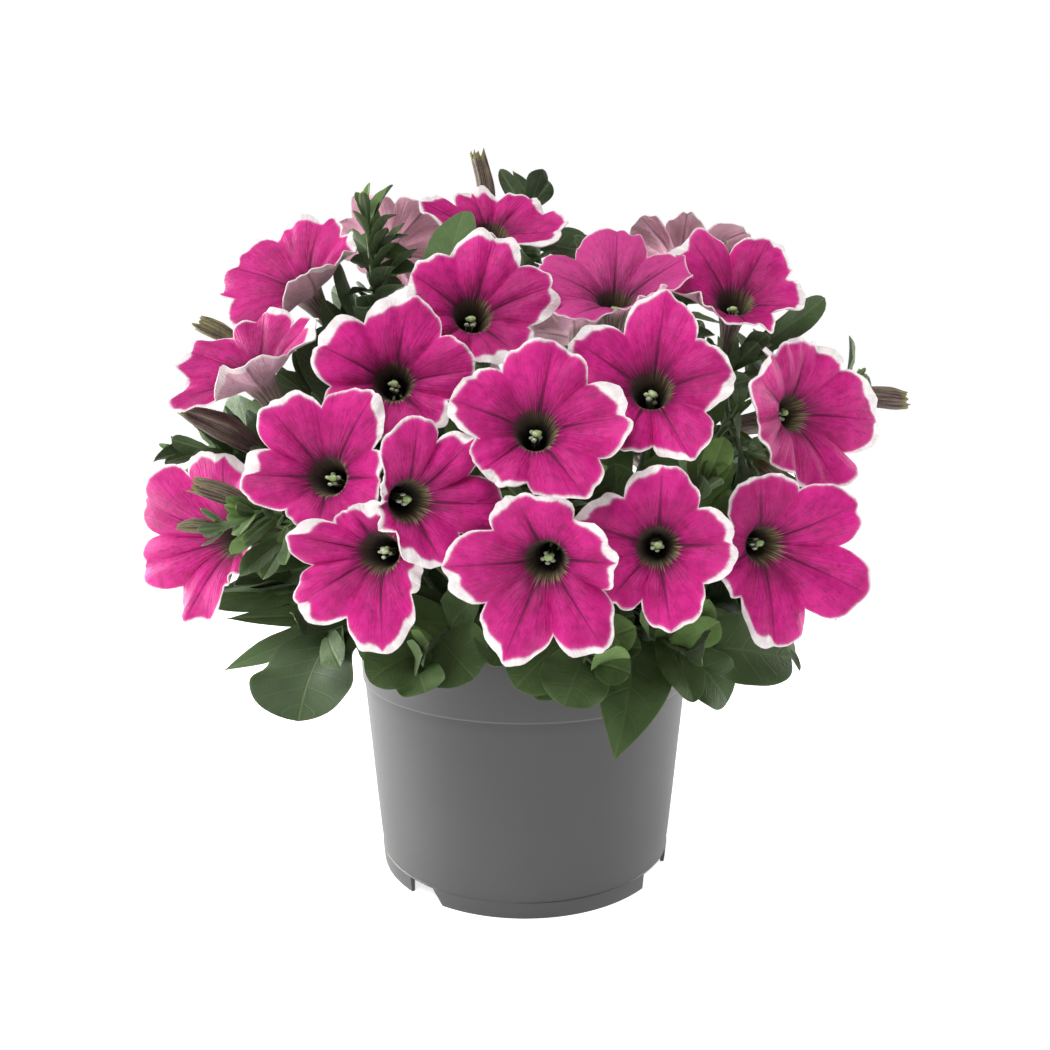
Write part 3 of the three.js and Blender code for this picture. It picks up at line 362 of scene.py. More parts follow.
# Buds: girth near the rim and at it, twist and depth of the ridges, depth of the teeth,
# bow of the tube to the right and up, and warmth
BUD_STYLES = {
    "01": [[0.95, 0.8], 1.5, 0.12, 2.2, [3.5, 0.0], 0.25],
    "02": [[1.05, 0.8], 2.5, 0.10, 1.2, [0.0, 1.6], 0.15],
    "03": [[0.66, 0.25], 2.0, 0.16, 0.8, [0.0, 1.2], 0.1],
    "04": [[0.95, 0.75], 2.0, 0.14, 1.3, [0.0, 0.6], 0.8],
    "05": [[0.85, 0.70], 1.5, 0.14, 1.6, [0.0, 0.5], 0.35],
    "06": [[0.80, 0.40], 3.5, 0.18, 1.4, [0.0, -1.5], 0.35],
    "07": [[0.70, 0.30], 2.0, 0.12, 0.4, [0.0, 0.3], 0.5],
}

# Lamps: name, kind, place in metres, size in metres or width of the cone in degrees,
# power, and height of the point lit; and the strength of the room light
LAMPS = [
    ("left_lamp", "AREA", (-1.15, 0.5, 0.3), 0.8, 22.0, 0.15),
    ("right_lamp", "AREA", (1.2, 0.4, 0.4), 0.8, 11.0, 0.15),
    ("top_lamp", "AREA", (-0.55, -0.75, 1.5), 1.0, 25.0, 0.15),
    ("left_pot_lamp", "SPOT", (-1.3, -0.15, 0.06), 5.5, 215.0, 0.033),
    ("right_pot_lamp", "SPOT", (1.3, 0.1, 0.06), 5.5, 48.0, 0.033),
]
ROOM_LIGHT = 0.27

def unit(v):
    """A vector, or each vector of an array, divided by its length."""
    v = np.asarray(v, float)
    return v / np.linalg.norm(v, axis=-1, keepdims=True)


def even_shares(count):
    """Shares from 0 to 1 in count even steps."""
    return np.arange(count + 1) / count


def bell(distance, width):
    """1 at no distance, falling off to both sides as a bell curve of a width."""
    return np.exp(-((distance / width) ** 2))


def random_source(seed):
    """Repeatable draws between 0 and 1 from a small whole-number state."""
    state = seed & 0xFFFFFFFF

    def draw():
        nonlocal state
        state = (state + 0x6D2B79F5) & 0xFFFFFFFF
        t = state
        t = ((t ^ (t >> 15)) * (t | 1)) & 0xFFFFFFFF
        t ^= (t + ((t ^ (t >> 7)) * (t | 61))) & 0xFFFFFFFF
        return ((t ^ (t >> 14)) & 0xFFFFFFFF) / 4294967296

    return draw


def outward(degrees):
    a = math.radians(degrees)
    return np.array([math.sin(a), -math.cos(a), 0.0])


def facing(direction, rise):
    """Right, up and forward of something that faces a direction and rises by an angle."""
    out = outward(direction)
    e = math.radians(rise)
    forward = np.array([out[0] * math.cos(e), out[1] * math.cos(e), math.sin(e)])
    up = unit(UP - forward * forward[2])
    return np.cross(up, forward), up, forward


class Route:
    """Straight pieces through points, read by the share of the pieces passed."""

    def __init__(self, points):
        self.points = np.asarray(points, float)
        self.steps = len(self.points) - 1

    def at(self, t):
        i = np.minimum(np.floor(np.asarray(t) * self.steps), self.steps - 1).astype(int)
        share = (np.asarray(t) * self.steps - i)[..., None]
        return self.points[i] * (1 - share) + self.points[i + 1] * share

    def along(self, t):
        i = min(int(t * self.steps), self.steps - 1)
        return unit(self.points[i + 1] - self.points[i])


def centripetal(points, t):
    """Point of the centripetal spline through points, for t from 0 to 1 over its gaps."""
    gaps = len(points) - 1
    p = t * gaps
    i = min(int(p), gaps - 1)
    share = p - i
    a = points[i - 1] if i > 0 else 2 * points[0] - points[1]
    b, c = points[i], points[i + 1]
    d = points[i + 2] if i + 2 <= gaps else 2 * points[gaps] - points[gaps - 1]
    d0, d1, d2 = (math.sqrt(np.linalg.norm(q - r)) for q, r in ((b, a), (c, b), (d, c)))
    d1 = d1 if d1 > 1e-4 else 1.0
    d0 = d0 if d0 > 1e-4 else d1
    d2 = d2 if d2 > 1e-4 else d1
    t1 = ((b - a) / d0 - (c - a) / (d0 + d1) + (c - b) / d1) * d1
    t2 = ((c - b) / d1 - (d - b) / (d1 + d2) + (d - c) / d2) * d1
    square = -3 * b + 3 * c - 2 * t1 - t2
    cube = 2 * b - 2 * c + t1 + t2
    return b + share * (t1 + share * (square + share * cube))


def stem_route(stem):
    _, foot, lower, upper, tip, _ = stem
    points = [np.array([*foot, SOIL_TOP - ROOT_DEPTH]), np.array([*foot, SOIL_TOP + 6])]
    points = [np.asarray(p, float) for p in (*points, lower, upper, tip)]
    return Route([centripetal(points, i / STEM_STEPS) for i in range(STEM_STEPS + 1)])


def branch_route(route, tip):
    """A quadratic curve from the stem to a low tip, its middle raised over both."""
    start = route.at(0.3)
    end = np.array(tip, float)
    middle = (start + end) / 2
    middle[2] = max(start[2], end[2]) + 6
    t = np.linspace(0, 1, BRANCH_STEPS + 1)[:, None]
    return Route((1 - t) ** 2 * start + 2 * t * (1 - t) * middle + t**2 * end)


def stalk_bends(start, seat, forward):
    """The four points of a cubic curve from a stem to a seat, ending along the facing."""
    reach = np.linalg.norm(seat - start)
    leave = start + 0.3 * np.array([seat[0] - start[0], seat[1] - start[1], 0.0])
    leave[2] += 0.1 * reach
    return np.array([start, leave, seat - 0.42 * reach * forward, seat])


def cubic(bends, t):
    t = np.asarray(t, float)[:, None]
    a, b, c, d = bends
    return (1 - t) ** 3 * a + 3 * t * (1 - t) ** 2 * b + 3 * t**2 * (1 - t) * c + t**3 * d


# Blooms
def sorted_lobes(lobes):
    rows = np.array([[a % 360, reach, bend] for a, reach, bend in lobes], float)
    return rows[np.argsort(rows[:, 0])]


def lobe_at(lobes, angles):
    """Reach, bend and share of the way to the next lobe, at angles about the facing.

    Both are blended between neighbours by a squared sine, and the reach follows the
    outline of a round lobe: a circle off the middle, with a small point at its tip.
    """
    rows = sorted_lobes(lobes)
    at = np.asarray(angles, float) % 360
    i = np.searchsorted(rows[:, 0], at, side="right") - 1
    here, following = rows[i % 5], rows[(i + 1) % 5]
    gap = (following[..., 0] - here[..., 0]) % 360
    t = ((at - here[..., 0]) % 360) / gap
    s = np.sin(np.pi * t / 2) ** 2
    d = np.radians(np.minimum(t, 1 - t) * FIFTH_TURN)
    chord = LOBE_ROUND * np.sin(d)
    bow = np.sqrt(np.maximum((1 - LOBE_ROUND) ** 2 - chord**2, 0))
    point = LOBE_TIP * (bell(d, math.radians(TIP_WIDTH)) - 1)
    outline = LOBE_ROUND * np.cos(d) + bow + point
    reach = (here[..., 1] * (1 - s) + following[..., 1] * s) * outline
    bend = here[..., 2] * (1 - s) + following[..., 2] * s
    return reach, bend, t


def limb_profile(reach, bend, w):
    """Radius, height and slope of the limb, from the eye (w = 0) to the edge (w = 1).

    The slope falls from the flare at the eye and takes up the bend toward the edge;
    radius and height are its cosine and sine summed along the way.
    """
    w = np.asarray(w, float)
    slope = np.radians(FLARE * (1 - w) ** 1.8 + np.asarray(bend)[..., None] * w**1.5)
    step = (np.asarray(reach) - EYE_RADIUS)[..., None] * np.diff(w)
    radius = np.full(slope.shape, EYE_RADIUS)
    height = np.zeros(slope.shape)
    cos, sin = np.cos(slope), np.sin(slope)
    radius[..., 1:] += np.cumsum(step * (cos[..., 1:] + cos[..., :-1]) / 2, axis=-1)
    height[..., 1:] += np.cumsum(step * (sin[..., 1:] + sin[..., :-1]) / 2, axis=-1)
    return radius, height, slope


def place_blooms(routes):
    keys = ("name", "stem", "along", "eye", "direction", "rise", "lobes")
    blooms = [dict(zip(keys, row)) for row in BLOOMS]
    for *row, turn in BACK_BLOOMS:
        draw = random_source(int(row[0]))
        lobes = []
        for i in range(5):
            angle = turn + FIFTH_TURN * i + 10 * (draw() - 0.5)
            reach = BACK_LOBE_REACH + 4 * (draw() - 0.5)
            lobes.append([angle, reach, 12 * (draw() - 0.5)])
        blooms.append(dict(zip(keys, [*row, lobes])))
    for bloom in blooms:
        bloom["eye"] = np.array(bloom["eye"], float)
        bloom["frame"] = facing(bloom["direction"], bloom["rise"])
        forward = bloom["frame"][2]
        bloom["seat"] = bloom["eye"] - (TUBE_LENGTH + PETAL / 2 + FIT_GAP) * forward
        start = routes[bloom["stem"]].at(bloom["along"])
        bloom["bends"] = stalk_bends(start, bloom["seat"], forward)
        bloom["stalk"] = Route(cubic(bloom["bends"], np.linspace(0, 1, STALK_STEPS + 1)))
    return blooms


def place_buds(routes):
    buds = []
    for name, stem, along, seat, direction, rise, length, radius in BUDS:
        axes = facing(direction, rise)
        bends = stalk_bends(routes[stem].at(along), np.array(seat, float), axes[2])
        stalk = Route(cubic(bends, np.linspace(0, 1, STALK_STEPS + 1)))
        buds.append({"name": name, "stem": stem, "frame": axes, "seat": np.array(seat, float),
                     "length": length, "radius": radius, "bends": bends, "stalk": stalk})
    return buds


def around(item, centre, angles, radius, height):
    """Points at angles, a radius and a height about the facing of a bloom or a bud."""
    right, up, forward = item["frame"]
    a = np.radians(angles)[..., None]
    ring = np.cos(a) * up + np.sin(a) * right
    return centre + np.asarray(height)[..., None] * forward + np.asarray(radius)[..., None] * ring


# Leaves
def leaf_outline(s, taper=0.0):
    """Half width of a blade over its largest: a narrow foot, and a blunt tip or one
    drawn out by taper."""
    end = np.maximum(1 - s ** (2.6 - 1.2 * taper), 0) ** (0.6 + 0.55 * taper)
    return 0.13 * (1 - s) + 1.68 * (1 + 0.6 * taper) * s**0.7 * end


def leaf_spine(leaves, s):
    """Centre line, side and normal of blades at the shares s of their length.

    The centre line is a quadratic curve from root to tip, its middle raised by the arch.
    """
    root, tip, lift = (np.array([leaf[k] for leaf in leaves]) for k in ("root", "tip", "lift"))
    arch = np.array([leaf["arch"] for leaf in leaves])[:, None]
    chord = tip - root
    side = unit(np.cross(chord, lift))
    above = unit(np.cross(side, chord))
    control = (root + tip) / 2 + above * arch
    root, tip, control = root[:, None], tip[:, None], control[:, None]
    t = np.asarray(s)[None, :, None]
    centre = (1 - t) ** 2 * root + 2 * t * (1 - t) * control + t**2 * tip
    tangent = unit(2 * (1 - t) * (control - root) + 2 * t * (tip - control))
    side = side[:, None] * np.ones_like(t)
    normal = unit(np.cross(side, tangent))
    return centre, side, normal


def leaf_samples(leaf):
    """Points of a blade for the clearance test, on the same form as its solid."""
    s = even_shares(7)
    t = np.array([-1, -0.5, 0, 0.5, 1])
    centre, side, normal = (a[0][:, None] for a in leaf_spine([leaf], s))
    half = (leaf["width"] / 2 * leaf_outline(s, leaf.get("taper", 0.0)))[:, None]
    fold, wave = leaf["fold"], leaf["wave"]
    lean = t * half * math.cos(fold)
    lift = np.abs(t) * half * math.sin(fold) + t * wave * half * np.sin(LEAF_WAVES * s + wave * 9)[:, None]
    return centre + side * lean[..., None] + normal * lift[..., None]


class World:
    """What the leaves may not touch: blooms, and spots with a radius and a stem."""

    def __init__(self, blooms):
        self.blooms = blooms
        self.parts = []
        self.table = None

    def add(self, points, radius, stem):
        points = np.atleast_2d(points)
        rows = np.column_stack([points, np.full(len(points), radius), np.full(len(points), stem)])
        self.parts.append(rows)
        self.table = None

    def near_bloom(self, bloom, p):
        right, up, forward = bloom["frame"]
        d = p - bloom["eye"]
        h, u, v = d @ forward, d @ up, d @ right
        radius = np.hypot(u, v)
        close = (radius <= 42) & (h >= -TUBE_LENGTH - 2) & (h <= 30)
        if not close.any():
            return False
        h, u, v, radius = h[close], u[close], v[close], radius[close]
        tube = (h < 0) & (radius < 2.5 + 3.8 * (1 + h / TUBE_LENGTH) + CLEAR_PETAL)
        if tube.any():
            return True
        reach, bend, _ = lobe_at(bloom["lobes"], np.degrees(np.arctan2(v, u)))
        r, z, _ = limb_profile(reach, bend, np.linspace(0, 1, PROFILE_STEPS + 1))
        return bool((np.hypot(radius[:, None] - r, h[:, None] - z) < CLEAR_PETAL + 0.8).any())

    def blocked(self, stem, leaf, ease=0.0):
        """True where a leaf comes too near the pot, the limits, a bloom or another piece."""
        p = leaf_samples(leaf)[1:].reshape(-1, 3)
        r = np.hypot(p[:, 0], p[:, 1])
        low = (r < RIM_RADIUS + 2) & (p[:, 2] < RIM_Z + 2.5)
        if (low & ((r > RIM_RADIUS - 6) | (p[:, 2] < SOIL_TOP + SOIL_CROWN + 5))).any():
            return True
        if (r > SPREAD_LIMIT).any() or (p[:, 2] > HEIGHT_LIMIT).any():
            return True
        if any(self.near_bloom(bloom, p) for bloom in self.blooms):
            return True
        if self.table is None:
            self.table = np.vstack(self.parts)
        spots = self.table
        own = spots[:, 4] == stem
        reach = spots[:, 3] + np.where(own, CLEAR_OWN, CLEAR_LEAF) - ease
        near_root = own & (np.linalg.norm(spots[:, :3] - leaf["root"], axis=1) < ROOT_ZONE)
        spots, reach = spots[~near_root], reach[~near_root]
        gap = np.linalg.norm(spots[None, :, :3] - p[:, None], axis=2)
        return bool((gap < reach).any())

    def claim(self, stem, leaf):
        self.add(leaf_samples(leaf).reshape(-1, 3), LEAF, stem)


def grow_leaves(world, stem, route, start, end, count, size, seed, slim=0.5, ease=0.0):
    """Leaves along a stem, a golden turn apart, each turned on until it is clear."""
    draw = random_source(seed)
    leaves = []
    for i in range(count):
        share = i / (count - 1) if count > 1 else 0
        t = start + (end - start) * share
        root, along = route.at(t), route.along(t)
        turn = math.radians(GOLDEN_TURN * i + 360 * draw())
        flat = np.array([1.0, 0, 0]) if abs(along[2]) > 0.95 else UP
        side = unit(np.cross(flat, along))
        other = np.cross(along, side)
        length = size * (1 - 0.45 * share**1.6) * (0.88 + 0.24 * draw())
        fold = 0.12 + 0.3 * draw()
        wave = 0.1 + 0.16 * draw()
        for attempt in range(8):
            spin = turn + math.radians(47) * attempt
            lean = math.radians(66 - 26 * share - 5 * (attempt % 3))
            radial = side * math.cos(spin) + other * math.sin(spin)
            reach = along * math.cos(lean) + radial * math.sin(lean)
            long = length * (1 if attempt < 5 else 0.7)
            leaf = {"root": root, "tip": root + reach * long, "lift": along * 0.7 + UP * 0.3,
                    "width": long * slim, "arch": long * 0.1,
                    "fold": fold, "wave": wave, "young": share}
            if not world.blocked(stem, leaf, ease):
                world.claim(stem, leaf)
                leaves.append(leaf)
                break
    return leaves


def seen_leaves(table, number, route):
    """The leaves of one stem in a table, folded and waved alike."""
    leaves = []
    for stem, along, place, width, arch, taper in table:
        if stem == number:
            tip = np.array(place, float)
            lift = unit([0.5 * tip[0], tip[1], 0]) + 0.5 * UP
            leaves.append({"root": route.at(along), "tip": tip, "lift": lift,
                           "width": width, "arch": arch, "taper": taper,
                           "fold": RIM_FOLD, "wave": RIM_WAVE, "young": 0.0})
    return leaves


def grow_plant():
    """Every stem, stalk, bloom and bud is placed first, then the leaves one by one."""
    routes = {stem[0]: stem_route(stem) for stem in STEMS}
    branches = {stem[0]: branch_route(routes[stem[0]], stem[5]) for stem in STEMS if stem[5] is not None}
    blooms = place_blooms(routes)
    buds = place_buds(routes)
    world = World(blooms)
    for number, route in routes.items():
        world.add(route.at(even_shares(60)), STEM_ROOM, number)
    for number, route in branches.items():
        world.add(route.at(even_shares(30)), BRANCH_ROOM, number)
    cup_angles = CUP_TURN + FIFTH_TURN * np.arange(5)
    lean = math.radians(CUP_SPREAD["lean"])
    for bloom in blooms:
        world.add(bloom["stalk"].at(even_shares(20)), STALK_ROOM, bloom["stem"])
        for share in CUP_SPREAD["shares"]:
            reach = CUP_SPREAD["reach"] * share
            height = np.full(5, -TUBE_LENGTH - CUP_SPREAD["drop"] + reach * math.cos(lean))
            radius = np.full(5, reach * math.sin(lean))
            cup = around(bloom, bloom["eye"], cup_angles, radius, height)
            world.add(cup, CUP_ROOM, bloom["stem"])
    for bud in buds:
        world.add(bud["stalk"].at(even_shares(16)), BUD_STALK_ROOM, bud["stem"])
        line = bud["seat"] + bud["frame"][2] * (bud["length"] * even_shares(8))[:, None]
        world.add(line, bud["radius"], 0)
    leaves = {}
    for number in routes:
        leaves[number] = seen_leaves(RIM_LEAVES, number, branches.get(number))
        leaves[number] += seen_leaves(CROWN_LEAVES, number, routes[number])
        for leaf in leaves[number]:
            world.claim(number, leaf)
    for number, route in routes.items():
        if number in branches and all(row[0] != number for row in RIM_LEAVES):
            leaves[number] += grow_leaves(world, number, branches[number], seed=500 + number, **LOW_LEAVES)
        leaves[number] += grow_leaves(world, number, route, seed=100 + number, **MAIN_LEAVES)
    return SimpleNamespace(routes=routes, branches=branches, blooms=blooms, buds=buds,
                           leaves=leaves, world=world)


# Meshes
def grid_faces(rows, columns, wrap_rows=False, wrap_columns=True):
    """Quads of a grid of points stored row by row, closed on itself where asked."""
    i = np.arange(rows if wrap_rows else rows - 1)
    j = np.arange(columns if wrap_columns else columns - 1)
    i, j = (a.ravel() for a in np.meshgrid(i, j, indexing="ij"))
    i2, j2 = (i + 1) % rows, (j + 1) % columns
    return np.stack([i * columns + j, i * columns + j2, i2 * columns + j2, i2 * columns + j], 1)


def ring_stack_faces(stacks, rings, sides):
    """Faces of many closed ring stacks: quads between the rings, and a flat end on each."""
    size = rings * sides
    quads = grid_faces(rings, sides)
    starts = np.arange(stacks)[:, None, None] * size
    faces = (quads[None] + starts).reshape(-1, 4).tolist()
    first = np.arange(sides)[::-1]
    last = size - sides + np.arange(sides)
    for end in (first, last):
        faces += (end[None] + np.arange(stacks)[:, None] * size).tolist()
    return faces


class Shape:
    """Points, faces and per-point values gathered for one piece."""

    def __init__(self):
        self.points, self.faces, self.values, self.count = [], [], {}, 0

    def add(self, points, faces, **values):
        points = np.asarray(points, float).reshape(-1, 3)
        if isinstance(faces, np.ndarray):
            faces = faces.tolist()
        self.faces += [[k + self.count for k in face] for face in faces]
        for name, value in values.items():
            wanted = (len(points), 3) if np.ndim(value) == 2 else (len(points),)
            value = np.broadcast_to(np.asarray(value, float), wanted)
            self.values.setdefault(name, []).append(value)
        self.points.append(points)
        self.count += len(points)

    def piece(self, name, finish, slot, nodes=(), crease=60):
        """The object: metres, smooth faces, sharp where two faces meet at over crease."""
        mesh = bpy.data.meshes.new(name)
        mesh.from_pydata((np.vstack(self.points) * MM).tolist(), [], self.faces)
        mesh.polygons.foreach_set("use_smooth", np.ones(len(mesh.polygons), bool))
        for key, parts in self.values.items():
            values = np.concatenate(parts)
            kind = "FLOAT_VECTOR" if values.ndim == 2 else "FLOAT"
            layer = mesh.attributes.new(key, kind, "POINT")
            layer.data.foreach_set("vector" if values.ndim == 2 else "value", values.ravel())
        mesh.materials.append(finish)
        mesh.update()
        mesh.set_sharp_from_angle(angle=math.radians(crease))
        obj = bpy.data.objects.new(name, mesh)
        bpy.context.scene.collection.objects.link(obj)
        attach(obj, "root")
        if nodes:
            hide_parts(*nodes)
        return obj


def outward_faces(points, faces):
    """Quads turned round where the body they close has a negative volume."""
    p = np.asarray(points).reshape(-1, 3)
    a, b, c, d = (p[faces[:, k]] for k in range(4))
    volume = (np.cross(b, c) * a).sum() + (np.cross(c, d) * a).sum()
    return faces if volume > 0 else faces[:, ::-1]


def smooth_path(route, count):
    """A route read at even shares of its pieces, each point then moved three times toward
    the middle of its neighbours; the two ends stay."""
    path = route.at(np.linspace(0, 1, count))
    for _ in range(3):
        path[1:-1] = path[1:-1] / 2 + (path[:-2] + path[2:]) / 4
    return path


def tubes(paths, radii, sides):
    """Rings about paths, each turned along its path without twist.

    The side of the first ring is square to the path and to a fixed axis; each next one
    is the one before with its part along the path taken off.
    """
    paths = np.asarray(paths, float)
    tangent = unit(np.gradient(paths, axis=1))
    first = tangent[:, 0]
    axis = np.where(np.abs(first[:, 2:]) > 0.9, np.array([[1.0, 0, 0]]), UP[None])
    side = unit(np.cross(axis, first))
    a = 2 * np.pi * np.arange(sides) / sides
    rings = []
    for k in range(paths.shape[1]):
        side = unit(side - (side * tangent[:, k]).sum(1, keepdims=True) * tangent[:, k])
        other = np.cross(tangent[:, k], side)
        ring = np.cos(a)[None, :, None] * side[:, None] + np.sin(a)[None, :, None] * other[:, None]
        rings.append(paths[:, k, None] + np.asarray(radii)[:, k, None, None] * ring)
    return np.stack(rings, 1)


def wobble(x, seed):
    """A smooth uneven curve between about -1 and 1: four sines with drawn rates and phases."""
    draw = np.random.default_rng(seed)
    total = np.zeros_like(np.asarray(x, float))
    for k in range(4):
        rate = k + 1 + draw.uniform(-0.3, 0.3)
        total = total + np.sin(rate * x + draw.uniform(0, 2 * np.pi)) / (k + 1) ** 0.5
    return total / 2


# Corollas: columns of each lobe, rows of the tube and the limb, thickness, radius of the
# foot, and the circle round which the veins are drawn
LOBE_COLUMNS = 26
TUBE_ROWS = 9
LIMB_ROWS = 26
SHEET = 0.42
TUBE_FOOT = 2.1
VEIN_TURNS = 11.0

# Outline of the lobes, as shares of their reach: shoulders, hollow behind the tip, cleft,
# uneven edge, fine teeth, and the least and the most of a nick at the tip
SHOULDER = 0.13
HOLLOW = 0.03
CLEFT = 0.05
RAGGED = 0.026
TEETH = 0.009
NICK = (-0.02, 0.06)

# Folds of the limb: groove at the middle vein, pucker and tuck at the cleft, lean of a
# lobe to one side, fine crimps, and curl of the edge
GROOVE = 1.5
PUCKER = 1.1
TUCK = 2.4
LEAN = 2.0
CRIMP = 0.65
CURL = 0.9

# White margin: its least width, what a draw adds, its gap at the tips, and a line all round
MARGIN = 0.2
MARGIN_MORE = 3.3
TIP_GAP = 0.85
MARGIN_LINE = 0.15


def ring_wave(angle, seed, counts):
    """An uneven wave that closes on itself round a bloom: whole numbers of waves a turn."""
    draw = np.random.default_rng(seed)
    total = np.zeros_like(angle)
    for count in counts:
        height = draw.uniform(0.5, 1)
        total = total + height * np.sin(count * np.radians(angle) + draw.uniform(0, 2 * np.pi))
    return total / len(counts) ** 0.5


def tip_to_tip(share, after, before):
    """A value for each column from one lobe tip to the next: up to the cleft the one after
    the first tip, from there the one before the next tip."""
    return np.where(share < 0.5, after[:, None], np.roll(before, -1)[:, None]).ravel()


def lobe_outline(share, phase, angle, seed, full):
    """Reach of the columns over that of plain lobes: full shoulders and a hollow behind
    the tip, both powers or bells of the way to the cleft, less the clefts and nicks."""
    shoulder = SHOULDER * phase**1.2 - HOLLOW * bell(phase, 0.14)
    ragged = RAGGED * ring_wave(angle, seed, (8, 13, 19)) + TEETH * ring_wave(angle, seed + 3, (27, 38))
    cleft = CLEFT * bell(1 - phase, 0.11)
    nick = np.random.default_rng(seed + 11).uniform(*NICK, 5)
    nick = tip_to_tip(share, nick, nick) * bell(phase, 0.09)
    return 1 + full * shoulder + (ragged - cleft - nick)


def limb_folds(share, phase, angle, w, seed, wave):
    """Height of the folds over the plain limb, at each angle and way out w.

    Waves, crimps, tuck, lean and curl grow with powers of the way out; groove and
    pucker rise and fall with its sine.
    """
    waves = wave * ring_wave(angle, seed + 50, (4, 7, 11))[:, None] * w**2.5
    crimps = CRIMP * ring_wave(angle, seed + 90, (15, 21, 29))[:, None] * w**3
    groove = -GROOVE * bell(phase, 0.22)[:, None] * np.sin(np.pi * np.minimum(w * 1.1, 1))
    pucker = -PUCKER * bell(1 - phase, 0.24)[:, None] * np.sin(np.pi * w)
    beside = (np.tile(share, 5) - 0.5) / 0.13
    tuck = np.repeat(np.random.default_rng(seed + 60).uniform(-TUCK, TUCK, 5), LOBE_COLUMNS)
    tuck = (tuck * beside * bell(beside, 1))[:, None] * w**2.5
    lean = np.random.default_rng(seed + 80).uniform(-LEAN, LEAN, 5)
    lean = (tip_to_tip(share, lean, -lean) * phase * (1 - phase**3))[:, None] * w**1.5
    curl = -CURL * (0.4 + ring_wave(angle, seed + 30, (3, 5, 7)))[:, None] * w**7
    return waves + crimps + groove + pucker + tuck + lean + curl


def white_width(share, phase, angle, seed, white):
    """Width of the white margin: drawn for either side of each lobe, next to nothing at
    its tip, tapering to the cleft, and uneven."""
    draw = np.random.default_rng(seed + 7)
    left, right = (MARGIN + MARGIN_MORE * draw.uniform(0, 1, (2, 5)) ** 2.0) * white
    width = tip_to_tip(share, right, left) * (1 - TIP_GAP * bell(phase, 0.07))
    width = width * np.clip(1 - phase**2.6, 0, 1) ** 0.75
    return width * (1 + 0.5 * ring_wave(angle, seed + 21, (6, 9, 13))) + MARGIN_LINE * white


def corolla(bloom, look):
    """Fine trumpet of a bloom, as one closed thin shell.

    Columns run from each lobe tip to the next. Along a column the tube widens as
    a power of its height up to the eye, then the limb follows limb_profile out to
    lobe_outline, with limb_folds added along its normal. Front and back lie half a
    sheet to either side, and meet at the edge and at the foot of the tube.
    """
    seed = int(bloom["name"])
    lobes = [[turn, out + more, bend] for (turn, out, bend), more in zip(bloom["lobes"], look["more"])]
    rows = sorted_lobes(lobes)
    gap = (np.roll(rows[:, 0], -1) - rows[:, 0]) % 360
    share = np.arange(LOBE_COLUMNS) / LOBE_COLUMNS
    phase = np.tile(2 * np.minimum(share, 1 - share), 5)
    angle = (rows[:, 0, None] + gap[:, None] * share).ravel()
    reach, bend, _ = lobe_at(lobes, angle + 1e-9)
    reach = reach * lobe_outline(share, phase, angle, seed, look["full"])
    w = 1 - (1 - np.linspace(0, 1, LIMB_ROWS)) ** 1.35
    radius, height, slope = limb_profile(reach, bend, w)
    lift = limb_folds(share, phase, angle, w, seed, look["wave"])
    radius = radius - lift * np.sin(slope)
    height = height + lift * np.cos(slope)
    # the tube below the limb
    x = np.linspace(0, 1, TUBE_ROWS, endpoint=False)
    tube_radius = TUBE_FOOT + (EYE_RADIUS - TUBE_FOOT) * x**2.1
    tube = (len(angle), TUBE_ROWS)
    radius = np.concatenate([np.broadcast_to(tube_radius, tube), radius], 1)
    height = np.concatenate([np.broadcast_to(TUBE_LENGTH * (x - 1), tube), height], 1)
    angles = np.broadcast_to(angle[:, None], radius.shape)
    middle = around(bloom, bloom["eye"], angles, radius, height)
    # normal of the sheet, toward the face of the bloom
    across = np.roll(middle, -1, 0) - np.roll(middle, 1, 0)
    normal = unit(np.cross(across, np.gradient(middle, axis=1)))
    if (normal[:, TUBE_ROWS + 4] @ bloom["frame"][2]).mean() < 0:
        normal = -normal
    front = middle + normal * SHEET / 2
    back = middle - normal * SHEET / 2
    points = np.concatenate([front, back[:, ::-1]], 1)
    faces = outward_faces(points, grid_faces(len(angle), points.shape[1], wrap_rows=True))
    # values for the finish, the same on the front and the back
    along = np.concatenate([x - 1, w])
    edge = (reach - EYE_RADIUS)[:, None] * (1 - np.concatenate([np.zeros(TUBE_ROWS), w]))
    margin = edge - white_width(share, phase, angle, seed, look["white"])[:, None]
    off_vein = np.radians(phase * FIFTH_TURN / 2)[:, None] * radius
    turn = np.radians(angle)[:, None] + np.zeros_like(radius)
    climb = np.broadcast_to(along * 1.4 + seed * 3.1, radius.shape)
    vein = np.stack([VEIN_TURNS * np.cos(turn), VEIN_TURNS * np.sin(turn), climb], -1)
    way = np.broadcast_to(along, radius.shape)
    values = {"way": way, "margin": margin, "off_vein": off_vein, "edge": edge}
    both = {key: np.concatenate([a, a[:, ::-1]], 1).ravel() for key, a in values.items()}
    under = np.concatenate([np.zeros_like(radius), np.ones_like(radius)], 1).ravel()
    vein = np.concatenate([vein, vein[:, ::-1]], 1).reshape(-1, 3)
    shape = Shape()
    shape.add(points, faces, **both, under=under, pale=look["pale"], vein=vein)
    return shape


# Blades: rows and places across of small and large ones, thickness, ripples of the edge,
# quilting, height of the rib, and the side veins and their slant
SMALL_BLADE = 12, np.array([-1, -0.94, -0.72, -0.36, 0, 0.36, 0.72, 0.94, 1])
LARGE_HALF = [0.18, 0.42, 0.66, 0.86, 0.97, 1]
LARGE_BLADE = 24, np.array([-1, -0.97, -0.86, -0.66, -0.42, -0.18, 0, *LARGE_HALF])
BLADE = 0.34
RIPPLE = 0.05
QUILT = 0.28
RIB = 0.5
SIDE_VEINS = 6.5
VEIN_SLANT = 1.1


